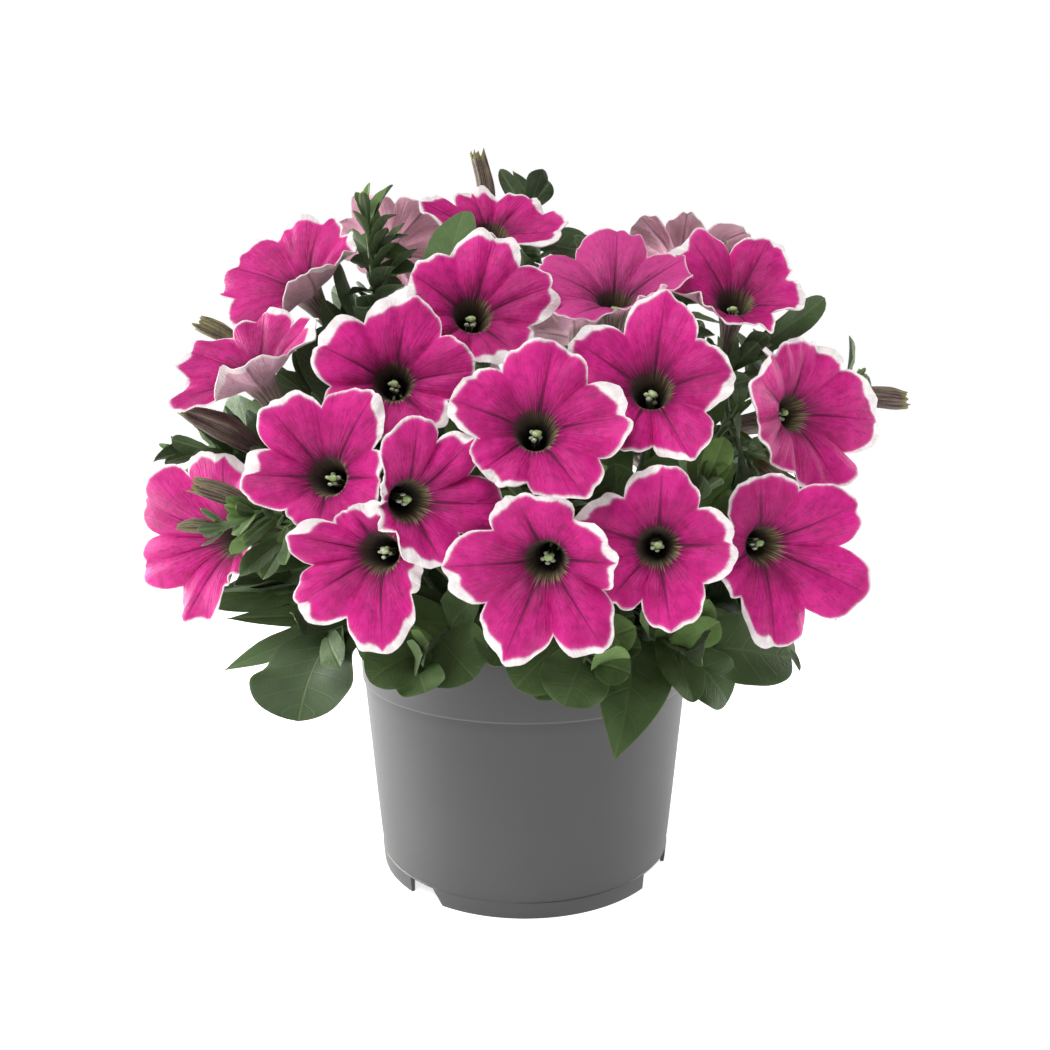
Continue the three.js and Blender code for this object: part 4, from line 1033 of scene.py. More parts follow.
def blades(leaves, rows, across):
    """Closed blades on the centre lines of leaf_spine.

    Half width follows leaf_outline. The section is a shallow fold with a rounded middle,
    a wave that grows across and along, small ripples at the edge, and soft
    quilting between side veins. Top and underside meet at the edges.
    """
    share = 1 - (1 - np.linspace(0, 1, rows)) ** 1.5
    s, t = share[None, :, None], across[None, None, :]
    centre, side, normal = (a[:, :, None] for a in leaf_spine(leaves, share))
    get = lambda key: np.array([leaf.get(key, 0.0) for leaf in leaves], float)[:, None, None]
    width, fold, wave = get("width"), get("fold"), get("wave")
    half = np.maximum(width / 2 * leaf_outline(s, get("taper")), 0.12)
    seed = np.arange(len(leaves))[:, None, None] * 2.4
    valley = 1.2 * t**2 / (np.abs(t) + 0.2)
    lift = valley * half * np.sin(fold) + t * wave * half * np.sin(LEAF_WAVES * s + wave * 9)
    lift = lift + RIPPLE * half * np.abs(t) ** 3 * np.sin(19 * s + 1.7 * np.sign(t) + seed)
    quilt = np.cos(2 * np.pi * (SIDE_VEINS * s - VEIN_SLANT * np.abs(t))) * np.abs(t) * (1 - t**2)
    lift = lift - QUILT * quilt * np.minimum(half / 8, 1)
    lean = t * half * np.cos(fold)
    middle = centre + side * lean[..., None] + normal * lift[..., None]
    stub = 1 + 1.6 * np.exp(-s / 0.07)
    depth = BLADE / 2 * stub * (1 - t**6) + 0.02
    rib = RIB * bell(t, 0.12) * (1 - s) * np.minimum(half / 7, 1)
    top = middle + normal * depth[..., None]
    low = middle - normal * (depth + rib)[..., None]
    points = np.concatenate([top, low[:, :, -2:0:-1]], 2)
    turned = np.concatenate([across, across[-2:0:-1]])
    under = np.concatenate([np.zeros(len(across)), np.ones(len(across) - 2)])
    values = {"along": s, "across": turned, "under": under, "half": half,
              "young": get("young"), "tone": get("tone")}
    shape = points.shape[:3]
    values = {key: np.broadcast_to(value, shape).ravel() for key, value in values.items()}
    return points, ring_stack_faces(*shape), values


def ellipsoids(centres, axes, rows, sides, rough, seed):
    """Closed round bodies: rings of latitude scaled by three axes, with small flat poles,
    and each point moved in or out by a drawn share."""
    centres = np.asarray(centres, float)
    lat = np.linspace(0.12, np.pi - 0.12, rows)[:, None]
    lon = 2 * np.pi * np.arange(sides) / sides
    across, up = np.sin(lat), np.broadcast_to(-np.cos(lat), (rows, sides))
    ball = np.stack([across * np.cos(lon), across * np.sin(lon), up], -1)
    draw = np.random.default_rng(seed)
    ball = ball[None] * (1 + rough * draw.uniform(-1, 1, (len(centres), rows, sides, 1)))
    points = centres[:, None, None] + np.einsum("nrsk,nkj->nrsj", ball, np.asarray(axes, float))
    return points, ring_stack_faces(len(centres), rows, sides)


# Finishes
def colour(code):
    """A colour written as six hexadecimal digits, as linear light."""
    parts = [int(code[k : k + 2], 16) / 255 for k in (0, 2, 4)]
    return tuple(c / 12.92 if c <= 0.04045 else ((c + 0.055) / 1.055) ** 2.4 for c in parts) + (1.0,)


class Finish:
    """A material and short calls that add its nodes."""

    def __init__(self, name, **constants):
        self.material = bpy.data.materials.new(name)
        self.material.use_nodes = True
        self.nodes = self.material.node_tree.nodes
        self.links = self.material.node_tree.links
        self.shader = self.nodes["Principled BSDF"]
        for key, value in constants.items():
            self.shader.inputs[key.replace("_", " ")].default_value = value

    def node(self, kind, inputs, out=0, **settings):
        node = self.nodes.new(kind)
        for key, value in settings.items():
            setattr(node, key, value)
        for key, value in inputs.items():
            if isinstance(value, bpy.types.NodeSocket):
                self.links.new(value, node.inputs[key])
            elif value is not None:
                node.inputs[key].default_value = value
        return node.outputs[out]

    def value(self, name):
        return self.node("ShaderNodeAttribute", {}, "Fac", attribute_name=name)

    def vector(self, name):
        return self.node("ShaderNodeAttribute", {}, "Vector", attribute_name=name)

    def place(self):
        return self.node("ShaderNodeTexCoord", {}, "Object")

    def math(self, operation, a, b=None):
        return self.node("ShaderNodeMath", {0: a, 1: b}, operation=operation)

    def times(self, a, b):
        return self.math("MULTIPLY", a, b)

    def plus(self, a, b):
        return self.math("ADD", a, b)

    def minus(self, a, b):
        return self.math("SUBTRACT", a, b)

    def uneven(self, value, noise, amount):
        """Value moved up and down as a noise leaves its middle."""
        return self.plus(value, self.times(self.minus(noise, 0.5), amount))

    def step(self, value, low, high, start=0.0, end=1.0):
        """A soft step of value between low and high."""
        inputs = {"Value": value, "From Min": low, "From Max": high, "To Min": start, "To Max": end}
        return self.node("ShaderNodeMapRange", inputs, interpolation_type="SMOOTHSTEP")

    def ridge(self, value, middle, half):
        """1 where the value passes the middle, 0 at more than half to either side."""
        off = self.math("ABSOLUTE", self.minus(value, middle))
        return self.step(off, half, 0.0)

    def noise(self, vector, scale, detail=3.0, rough=0.5):
        inputs = {"Vector": vector, "Scale": scale, "Detail": detail, "Roughness": rough}
        return self.node("ShaderNodeTexNoise", inputs)

    def blend(self, share, a, b):
        return self.node("ShaderNodeMix", {0: share, 6: a, 7: b}, 2, data_type="RGBA")

    def tint(self, base, code, share, strength):
        """The base with a share of a colour laid over it."""
        return self.blend(self.times(share, strength), base, colour(code))

    def between(self, first, second, value, low, high):
        """From one colour to another as value goes from low to high."""
        return self.blend(self.step(value, low, high), colour(first), colour(second))

    def scaled(self, vector, factors):
        return self.node("ShaderNodeVectorMath", {0: vector, 1: factors}, operation="MULTIPLY")

    def dot(self, vector, factors):
        return self.node("ShaderNodeVectorMath", {0: vector, 1: factors}, 1, operation="DOT_PRODUCT")

    def bump(self, height, strength, distance):
        inputs = {"Height": height, "Strength": strength, "Distance": distance}
        self.links.new(self.node("ShaderNodeBump", inputs), self.shader.inputs["Normal"])

    def colour(self, socket):
        self.links.new(socket, self.shader.inputs["Base Color"])
        return self.material

    def rough(self, socket):
        self.links.new(socket, self.shader.inputs["Roughness"])


def petal_finish():
    """Magenta limb with a white margin, dark veins, a dark netted throat and a pale underside."""
    f = Finish("petal", Roughness=0.55, Sheen_Weight=0.04, Sheen_Roughness=0.4, Specular_IOR_Level=0.22)
    way, margin, under, pale = (f.value(n) for n in ("way", "margin", "under", "pale"))
    off_vein, edge, vein = f.value("off_vein"), f.value("edge"), f.vector("vein")
    place = f.place()
    cloud = f.noise(place, 60.0, 3.0)
    mottle = f.noise(place, 330.0, 4.0, 0.6)
    grain = f.noise(place, 1100.0, 2.0)
    streak = f.noise(f.scaled(vein, (1.0, 1.0, 1.3)), 1.0, 3.0, 0.55)
    thread = f.noise(f.scaled(vein, (2.3, 2.3, 1.1)), 1.0, 2.0, 0.55)
    fine_streak = f.noise(f.scaled(vein, (2.6, 2.6, 1.6)), 1.0, 2.0, 0.6)
    net = f.noise(f.scaled(vein, (1.9, 1.9, 3.4)), 1.0, 2.0, 0.5)
    # limb
    base = f.between("c81b80", "a41266", cloud, 0.3, 0.7)
    base = f.tint(base, "c92184", f.step(fine_streak, 0.45, 0.75), 0.3)
    base = f.tint(base, "840d4e", f.step(mottle, 0.48, 0.66), 0.4)
    base = f.tint(base, "c8358c", f.step(mottle, 0.5, 0.32), 0.25)
    base = f.tint(base, "c04488", pale, 0.6)
    near_eye = f.step(f.uneven(way, streak, 0.6), 0.5, 0.0)
    base = f.tint(base, "681242", near_eye, 0.32)
    # side veins of the limb, faint toward the edge
    side_vein = f.times(f.ridge(net, 0.5, 0.03), f.step(edge, 1.5, 9.0))
    base = f.tint(base, "5c0f3a", side_vein, 0.55)
    # dark threads that fan out of the eye, dense at its mouth
    thin = f.times(f.ridge(thread, 0.5, 0.06), f.step(way, 0.85, 0.1))
    base = f.tint(base, "4a0c2e", thin, 0.65)
    fan = f.times(f.step(thread, 0.49, 0.55), f.step(way, 0.26, 0.04))
    base = f.tint(base, "2a0c1c", fan, 0.7)
    # middle vein of each lobe
    wide = f.step(way, 1.0, 0.0, 0.28, 0.8)
    line = f.times(f.step(f.math("DIVIDE", off_vein, wide), 1.0, 0.3), f.step(edge, 0.2, 5.0))
    fade = f.step(f.plus(way, f.times(mottle, 0.4)), 1.1, 0.3, 0.35, 0.8)
    line = f.times(line, fade)
    base = f.blend(line, base, colour("44092a"))
    # white margin, its inner edge soft and slightly feathered
    margin = f.uneven(margin, mottle, 0.5)
    white_share = f.step(f.uneven(margin, fine_streak, 0.4), 0.75, -0.45)
    white = f.between("e9e4e1", "d9cfd1", mottle, 0.35, 0.6)
    base = f.tint(base, "cf5a9c", f.step(margin, 1.8, 0.2), 0.3)
    front = f.blend(white_share, base, white)
    # throat: a dense dark net with thin yellow green strokes in it, brighter toward its lower right side as
    # a painted highlight where light falls into it
    painted_lit_side = f.dot(vein, (-0.04, 0.065, 0.0))
    stroke = f.uneven(thread, net, 0.4)
    gaps = f.times(f.step(stroke, 0.51, 0.44), f.plus(f.times(painted_lit_side, 0.5), 0.32))
    green_zone = f.step(way, -0.5, -0.05)
    green = f.between("6c6840", "aca474", way, -0.25, 0.0)
    throat = f.between("362b27", "443830", way, -0.6, -0.1)
    throat = f.blend(f.times(gaps, green_zone), throat, green)
    mouth = f.uneven(way, thread, 0.5)
    front = f.blend(f.step(mouth, 0.04, -0.04), front, throat)
    # underside and outside of the tube
    back = f.between("d3a3b8", "c0959f", cloud, 0.3, 0.7)
    back = f.tint(back, "9c8078", f.step(mottle, 0.48, 0.66), 0.35)
    # paleness of the underside: partly the bloom's own paler colour, partly painted light standing in for
    # light through the thin petal where the back is in shade
    back = f.tint(back, "fdbcd4", pale, 0.95)
    back = f.tint(back, "ab7089", f.step(streak, 0.5, 0.7), 0.25)
    back = f.tint(back, "84606a", side_vein, 0.35)
    back = f.tint(back, "7c4a5e", f.step(off_vein, 0.8, 0.15), 0.55)
    back = f.tint(back, "dfd2d3", white_share, 0.8)
    tube = f.between("8c8072", "5b3c4a", streak, 0.42, 0.6)
    back = f.blend(f.step(way, 0.12, -0.15), back, tube)
    height = f.plus(f.times(fine_streak, 0.7), f.times(grain, 0.3))
    height = f.minus(height, f.times(line, 0.5))
    f.bump(height, 0.65, 0.0009)
    return f.colour(f.blend(under, front, back))


def leaf_finish():
    """Green blade, darker when old, with pale midrib and side veins and a paler underside."""
    f = Finish("leaf", Roughness=0.62, Sheen_Weight=0.03, Sheen_Roughness=0.5, Specular_IOR_Level=0.2)
    along, across, under = f.value("along"), f.value("across"), f.value("under")
    young, tone, half = f.value("young"), f.value("tone"), f.value("half")
    place = f.place()
    cloud = f.noise(place, 90.0, 3.0)
    grain = f.noise(place, 1400.0, 3.0)
    old = f.between("42582f", "4f673a", cloud, 0.3, 0.7)
    fresh = f.between("58743a", "6a8848", cloud, 0.3, 0.7)
    base = f.blend(young, old, fresh)
    base = f.tint(base, "1c2817", tone, 0.6)
    mottle = f.noise(place, 420.0, 2.0)
    base = f.tint(base, "465832", f.step(mottle, 0.45, 0.7), 0.22)
    t = f.math("ABSOLUTE", across)
    off_rib = f.times(t, half)
    rib = f.step(off_rib, 0.75, 0.1)
    rank = f.minus(f.times(along, SIDE_VEINS), f.times(t, VEIN_SLANT))
    side = f.math("ABSOLUTE", f.minus(f.math("FRACT", rank), 0.5))
    side_vein = f.times(f.step(side, 0.075, 0.02), f.step(t, 0.95, 0.5))
    lines = f.math("MAXIMUM", rib, f.times(side_vein, 0.55))
    base = f.tint(base, "708254", lines, 0.17)
    rim = f.step(t, 0.93, 1.0)
    base = f.tint(base, "5f7246", rim, 0.35)
    low = f.between("4c5d40", "58694a", cloud, 0.3, 0.7)
    low = f.tint(low, "7b8d64", lines, 0.6)
    low = f.tint(low, "222e1e", tone, 0.7)
    height = f.minus(f.times(grain, 0.5), f.times(lines, 0.6))
    f.bump(height, 0.5, 0.0006)
    f.rough(f.step(mottle, 0.2, 0.8, 0.5, 0.68))
    return f.colour(f.blend(under, base, low))


def stem_finish():
    """Light green hairy stem, browner toward the soil."""
    f = Finish("stem", Roughness=0.6, Sheen_Weight=0.3, Sheen_Roughness=0.5, Specular_IOR_Level=0.3)
    place, age = f.place(), f.value("age")
    cloud = f.noise(place, 120.0, 3.0)
    base = f.between("43562e", "51643a", cloud, 0.3, 0.7)
    base = f.tint(base, "463f2b", age, 0.7)
    grain = f.noise(f.scaled(place, (1.0, 1.0, 0.4)), 1500.0, 3.0)
    base = f.tint(base, "74845a", f.step(grain, 0.5, 0.75), 0.3)
    f.bump(grain, 0.4, 0.0005)
    return f.colour(base)


def bud_finish():
    """Dull brown furled petals with fine dark veins along them, a yellow-green foot and
    torn rim, and a near black mouth painted as the shade inside it."""
    f = Finish("bud", Roughness=0.65, Sheen_Weight=0.1, Sheen_Roughness=0.5, Specular_IOR_Level=0.3)
    along, rib, warm, vein = f.value("along"), f.value("rib"), f.value("warm"), f.vector("vein")
    place = f.place()
    cloud = f.noise(place, 150.0, 3.0)
    base = f.between("57443f", "6f5c58", cloud, 0.3, 0.7)
    base = f.blend(f.times(warm, f.step(cloud, 0.2, 0.6)), base, colour("7c7a45"))
    line = f.noise(vein, 1.0, 3.0, 0.6)
    base = f.tint(base, "2b1b20", f.step(line, 0.5, 0.6), 0.8)
    base = f.tint(base, "9a8e7c", f.step(line, 0.43, 0.35), 0.4)
    # painted shade: darker in the grooves between the ridges
    base = f.tint(base, "2f2023", f.step(rib, 0.4, 0.95), 0.4)
    ends = f.math("MAXIMUM", f.step(along, 0.9, 1.0), f.step(along, 0.16, 0.0))
    base = f.tint(base, "8c8b4e", ends, 0.6)
    # painted shade: the closed mouth inside the rim is near black
    base = f.blend(f.step(along, 1.03, 1.3), base, colour("1d1416"))
    grain = f.noise(place, 1300.0, 3.0)
    f.bump(f.plus(f.times(line, -0.8), grain), 0.6, 0.0006)
    return f.colour(base)


def heart_finish():
    """Pale green stigma and dusty cream anthers."""
    f = Finish("heart", Roughness=0.6)
    cloud = f.noise(f.place(), 700.0, 2.0)
    base = f.blend(f.value("young"), colour("adb39c"), colour("88a25c"))
    base = f.tint(base, "e6e4d2", f.step(cloud, 0.4, 0.7), 0.5)
    f.bump(cloud, 0.5, 0.0004)
    return f.colour(base)


def pot_finish():
    """Grey moulded plastic with a fine matte grain and faint turning lines, a painted shadow under the band
    and a painted highlight along its lower edge.
    """
    f = Finish("pot", Roughness=0.45, Specular_IOR_Level=0.5)
    place = f.place()
    grain = f.noise(place, 2600.0, 3.0)
    cloud = f.noise(place, 14.0, 3.0)
    rings = f.noise(f.scaled(place, (0.02, 0.02, 1.0)), 900.0, 2.0)
    base = f.between("353434", "3a3939", cloud, 0.3, 0.7)
    base = f.tint(base, "545251", f.step(grain, 0.5, 0.8), 0.1)
    # painted shadow in the corner under the band, and a painted highlight along its lower edge
    z = f.dot(place, (0.0, 0.0, 1.0))
    painted_band_shadow = f.times(f.step(z, 0.0695, 0.0752), f.step(z, 0.07545, 0.0753))
    base = f.tint(base, "1d1c1c", painted_band_shadow, 0.45)
    # painted highlight: a light line along the lower edge of the band
    base = f.tint(base, "6a6867", f.ridge(z, 0.0757, 0.0004), 0.5)
    height = f.plus(f.times(grain, 0.7), f.times(rings, 0.3))
    f.bump(height, 0.22, 0.0004)
    f.rough(f.step(cloud, 0.2, 0.8, 0.4, 0.48))
    return f.colour(base)


def soil_finish():
    """Moist dark peat: brown crumbs with black hollows and a few pale fibres."""
    f = Finish("soil", Roughness=0.95, Specular_IOR_Level=0.2)
    place = f.place()
    lumps = f.noise(place, 260.0, 5.0, 0.65)
    grain = f.noise(place, 1500.0, 4.0, 0.6)
    base = f.between("1d140e", "47362a", lumps, 0.35, 0.68)
    base = f.tint(base, "6d5643", f.step(grain, 0.6, 0.78), 0.5)
    f.bump(f.plus(lumps, f.times(grain, 0.5)), 0.9, 0.0015)
    return f.colour(base)


def floor_finish():
    f = Finish("pale_floor", Roughness=0.9, Specular_IOR_Level=0.1)
    f.shader.inputs["Base Color"].default_value = (0.9, 0.9, 0.9, 1)
    f.shader.inputs["Emission Color"].default_value = (1, 1, 1, 1)
    f.shader.inputs["Emission Strength"].default_value = 0.75
    return f.material


# Pieces
def pot_lower_edge(angle, z):
    """Height of a point of the foot, raised to the notch height within a notch.

    The rise is sharp at the first side of a notch, and slanted at the second.
    """
    raised = np.zeros_like(angle)
    for middle, width, slant in NOTCHES:
        d = (angle - middle + 180) % 360 - 180
        half = width / 2
        slope = math.degrees(slant / FOOT_RADIUS)
        rise = np.clip((half - d) / max(slope, 0.02), 0, 1) * (d > -half)
        raised = np.maximum(raised, NOTCH_HEIGHT * rise * (d < half))
    return np.maximum(z, raised)


def wall_radius(z):
    return FOOT_RADIUS + (WALL_TOP_RADIUS - FOOT_RADIUS) * z / BAND_Z


def rounded(profile):
    """A profile with each inner corner cut back and replaced by a short curve."""
    out = [profile[0]]
    for places in zip(profile, profile[1:], profile[2:]):
        before, corner, after = (np.array(p, float) for p in places)
        reach = min(CORNER, np.linalg.norm(before - corner) / 3, np.linalg.norm(after - corner) / 3)
        a, b = corner + unit(before - corner) * reach, corner + unit(after - corner) * reach
        for t in even_shares(CORNER_STEPS):
            out.append(tuple((1 - t) ** 2 * a + 2 * t * (1 - t) * corner + t * t * b))
    return out + [profile[-1]]


def pot_profile():
    """Radius and height along the wall: from the middle of the underside out to the foot,
    up the outside, over the rim, and down the inside to the middle of the floor."""
    floor_top = FLOOR_UNDERSIDE + FLOOR_THICKNESS
    underside = [(0.02, FLOOR_UNDERSIDE), (FLOOR_RING, FLOOR_UNDERSIDE)]
    foot = [(wall_radius(z) - WALL, z) for z in (FLOOR_UNDERSIDE, 3.0, 0.0)]
    outside = [(wall_radius(z), z) for z in (0.0, 3.0, FOOT_LINE_Z)]
    outside += [(wall_radius(FOOT_LINE_Z) - 0.3, FOOT_LINE_Z + 0.3), (wall_radius(12) - 0.15, 12.0)]
    outside += [(wall_radius(z), z) for z in (30.0, 52.0)]
    band = [(WALL_TOP_RADIUS, BAND_Z - 0.4), (BAND_RADIUS, BAND_Z), (64.5, 86.0), (RIM_RADIUS, RIM_Z - 0.8)]
    rim = [(RIM_RADIUS - 0.8, RIM_Z), (RIM_RADIUS - 1.6, RIM_Z - 0.3)]
    inside = [(WALL_TOP_RADIUS - WALL, BAND_Z), (wall_radius(40) - WALL, 40.0)]
    floor = [(wall_radius(floor_top) - WALL, floor_top), (FLOOR_RING, floor_top), (0.02, floor_top)]
    return np.array(rounded(underside + foot + outside + band + rim + inside + floor))


def pot_angles():
    """Even steps round the pot, with close pairs at the sides of the notches."""
    sides = []
    for middle, width, slant in NOTCHES:
        first, last = middle - width / 2, middle + width / 2
        sides += [first - 0.01, first + 0.01, last - math.degrees(slant / FOOT_RADIUS), last]
        if slant == 0:
            sides.append(last - 0.02)
    sides = (np.array(sides) + 180) % 360 - 180
    return np.unique(np.round(np.concatenate([np.arange(-180, 180, POT_STEP), sides]), 3))


def drain_drills():
    """A round bar through the floor for each drain hole."""
    drills = Shape()
    turn = 2 * np.pi * np.arange(32) / 32
    for k in range(DRAIN_HOLES):
        spot = outward(36 + 360 * k / DRAIN_HOLES) * DRAIN_CIRCLE
        x, y = spot[0] + DRAIN_RADIUS * np.cos(turn), spot[1] + DRAIN_RADIUS * np.sin(turn)
        ring = np.stack([x, y, 0 * turn], -1)
        low, high = FLOOR_UNDERSIDE - 3, FLOOR_UNDERSIDE + FLOOR_THICKNESS + 3
        drills.add(np.stack([ring + UP * low, ring + UP * high]), ring_stack_faces(1, 2, 32))
    mesh = bpy.data.meshes.new("drills")
    mesh.from_pydata((np.vstack(drills.points) * MM).tolist(), [], drills.faces)
    drill = bpy.data.objects.new("drills", mesh)
    bpy.context.scene.collection.objects.link(drill)
    return drill


def make_pot(finish):
    """Thin-walled tapered pot: a profile turned about Z, its foot notched, its floor drilled."""
    profile, angle = pot_profile(), pot_angles()
    r, z = profile[:, 0], profile[:, 1]
    foot = (r > wall_radius(0) - WALL - 1) & (z < NOTCH_HEIGHT)
    edge = pot_lower_edge(angle[:, None] + 0 * z[None], z[None] + 0 * angle[:, None])
    height = np.where(foot[None], edge, z[None])
    a = np.radians(angle)[:, None]
    points = np.stack([r * np.sin(a), -r * np.cos(a), height], -1)
    faces = grid_faces(len(angle), len(profile), wrap_rows=True, wrap_columns=False)
    faces = outward_faces(points, faces).tolist()
    first = np.arange(len(angle)) * len(profile)
    last = first[::-1] + len(profile) - 1
    shape = Shape()
    shape.add(points, faces + [first.tolist(), last.tolist()])
    pot = shape.piece("pot_shell", finish, "pot", ["pot"], crease=50)
    drill = drain_drills()
    cut = pot.modifiers.new("drain holes", "BOOLEAN")
    cut.object, cut.operation, cut.solver = drill, "DIFFERENCE", "EXACT"
    with bpy.context.temp_override(object=pot, active_object=pot, selected_objects=[pot]):
        bpy.ops.object.modifier_apply(modifier=cut.name)
    bpy.data.objects.remove(drill)


def soil_height(x, y):
    """Crowned top with two crossing waves of lumps."""
    r = np.hypot(x, y) / WALL_TOP_RADIUS
    lumps = np.sin(0.31 * x + 1.0) * np.cos(0.27 * y) + 0.6 * np.sin(0.53 * x - 0.47 * y)
    return SOIL_TOP + SOIL_CROWN * (1 - r * r) + SOIL_LUMP * lumps


def make_soil(finish):
    """Soil body turned about Z with its lumpy top, and loose crumbs sunk into that top."""
    bottom = FLOOR_UNDERSIDE + FLOOR_THICKNESS + SOIL_GAP
    low = wall_radius(bottom) - WALL - SOIL_GAP
    band = WALL_TOP_RADIUS - WALL - SOIL_GAP
    share = np.linspace(1, 0.002, SOIL_RINGS)
    r = np.concatenate([[0.02, low * 0.5, low, band - 0.1], (band + 0.2) * share])
    z = np.concatenate([[bottom, bottom, bottom, BAND_Z - 1], np.full(SOIL_RINGS, SOIL_TOP)])
    a = 2 * np.pi * np.arange(SOIL_SIDES) / SOIL_SIDES
    x, y = r[:, None] * np.cos(a), r[:, None] * np.sin(a)
    top = soil_height(x, y) + 0.8 * np.sin(1.1 * x + 2) * np.sin(0.9 * y) + 0.5 * np.sin(2.3 * x - 1.7 * y)
    height = np.where((z == SOIL_TOP)[:, None], top, z[:, None] + 0 * a)
    points = np.stack([x, y, height], -1)
    shape = Shape()
    shape.add(points, ring_stack_faces(1, len(r), SOIL_SIDES))
    draw = np.random.default_rng(4)
    reach = CRUMB_CIRCLE * np.sqrt(draw.uniform(0, 1, CRUMBS))
    turn = draw.uniform(0, 2 * np.pi, CRUMBS)
    x, y = reach * np.cos(turn), reach * np.sin(turn)
    size = draw.gamma(2.6, 0.6, CRUMBS).clip(0.7, 3.4)
    centres = np.stack([x, y, soil_height(x, y) + 0.25 * size], -1)
    axes = np.linalg.qr(draw.normal(0, 1, (CRUMBS, 3, 3)))[0]
    axes = axes * (size[:, None, None] * draw.uniform(0.55, 1.1, (CRUMBS, 3, 1)))
    shape.add(*ellipsoids(centres, axes, rows=5, sides=6, rough=0.22, seed=9))
    shape.piece("soil_bed", finish, "soil", ["soil"], crease=45)


def stem_radius(t):
    return 2.3 - 1.3 * t


def add_tube(shape, path, radii, sides, age):
    """One tube, and how old it is at each point of its path."""
    rings = tubes([path], [radii], sides)
    age = np.broadcast_to(np.asarray(age)[..., None], (len(path), sides))
    shape.add(rings, ring_stack_faces(1, len(path), sides), age=age.ravel())


def make_stalks(number, plant, finish):
    """Main stem, side branch and the stalks of blooms and buds of one stem, as smooth
    tubes on the same routes as the solids; each stalk swells into its cup."""
    shape = Shape()
    t = np.linspace(0, 1, 44)
    knots = 1 + 0.05 * wobble(2 * np.pi * t * 6, number)
    radii = stem_radius(t) * knots * np.where(t > 0.985, 0.5, 1)
    add_tube(shape, smooth_path(plant.routes[number], 44), radii, 12, (1 - t) ** 2)
    if number in plant.branches:
        t = np.linspace(0, 1, 26)
        add_tube(shape, smooth_path(plant.branches[number], 26), 1.65 - 0.75 * t, 9, np.full(26, 0.25))
    t = np.linspace(0, 1, 30)
    for item in [x for x in plant.blooms + plant.buds if x["stem"] == number]:
        path = cubic(item["bends"], t)
        path[-1] = item["seat"] - 0.15 * item["frame"][2]
        reach = np.linalg.norm(item["seat"] - path, axis=1)
        swell = 1.5 * bell(reach, 2.6)
        add_tube(shape, path, 1.05 + 0.1 * np.cos(9 * t) + swell, 10, np.zeros(30))
    name = f"stem_{number:02d}"
    shape.piece(name + "_stalks", finish, "leaf", [name], crease=70)


def cup_sepals(item, cup, seed):
    """Five narrow sepals that stand out from the foot of a bloom or a bud."""
    draw = np.random.default_rng(seed)
    sepals = []
    for k in range(5):
        angle = np.array(CUP_TURN + FIFTH_TURN * k + draw.uniform(-6, 6))
        reach = np.array(cup["reach"] * draw.uniform(0.88, 1.06))
        rise = np.array(cup["rise"] + draw.uniform(-0.6, 1.4))
        root = around(item, item["seat"], angle, np.array(1.5), np.array(-2.2))
        tip = around(item, item["seat"], angle, reach, rise)
        sepals.append({"root": root, "tip": tip, "lift": item["frame"][2], "width": 3.5, "arch": -1.5,
                       "fold": 0.25, "wave": 0.08, "young": 0.75, "tone": draw.uniform(0, 0.5)})
    return sepals


def tip_leaves(world, number, route):
    """Young leaves crowded round a growing tip, shorter and steeper toward its end."""
    draw = np.random.default_rng(40 + number)
    leaves = []
    for k in range(TIP_COUNT):
        share = k / (TIP_COUNT - 1)
        t = TIP_START + (1 - TIP_START) * share
        root, along = route.at(t), route.along(min(t, 0.999))
        side = unit(np.cross([1.0, 0, 0] if abs(along[2]) > 0.95 else UP, along))
        other = np.cross(along, side)
        length = TIP_SIZES.get(number, TIP_SIZE) * (1 - 0.62 * share) * draw.uniform(0.85, 1.15)
        fold, wave = draw.uniform(0.15, 0.45), draw.uniform(0.05, 0.15)
        start = draw.uniform(0, 2 * np.pi)
        for attempt in range(5):
            turn = math.radians(GOLDEN_TURN * k + 40 * attempt) + 0.1 * start
            lean = math.radians(68 - 52 * share)
            radial = side * math.cos(turn) + other * math.sin(turn)
            reach = along * math.cos(lean) + radial * math.sin(lean)
            leaf = {"root": root, "tip": root + reach * length, "lift": along,
                    "width": length * 0.42, "arch": -length * 0.1 * (1 - share) + length * 0.06,
                    "fold": fold, "wave": wave, "young": 0.5 + 0.5 * share, "tone": TIP_TONE}
            if not world.blocked(number, leaf, TIP_EASE):
                leaves.append(leaf)
                break
    for leaf in leaves:
        world.claim(number, leaf)
    return leaves


def gap_leaves(world, number, route):
    """Leaves for the gaps between blooms: each tip is moved back or forward along the
    line of sight, and its blade narrowed, until it is clear."""
    leaves = []
    for leaf in seen_leaves(GAP_LEAVES, number, route):
        sight = unit(leaf["tip"] - np.array(CAMERA_PLACE) / MM)
        place, width = leaf["tip"], leaf["width"]
        for back in GAP_MOVES:
            leaf["tip"] = place + back * sight
            leaf["width"] = width * (1 if abs(back) < 10 else 0.8)
            if not world.blocked(number, leaf, GAP_EASE):
                world.claim(number, leaf)
                leaves.append(leaf)
                break
    return leaves


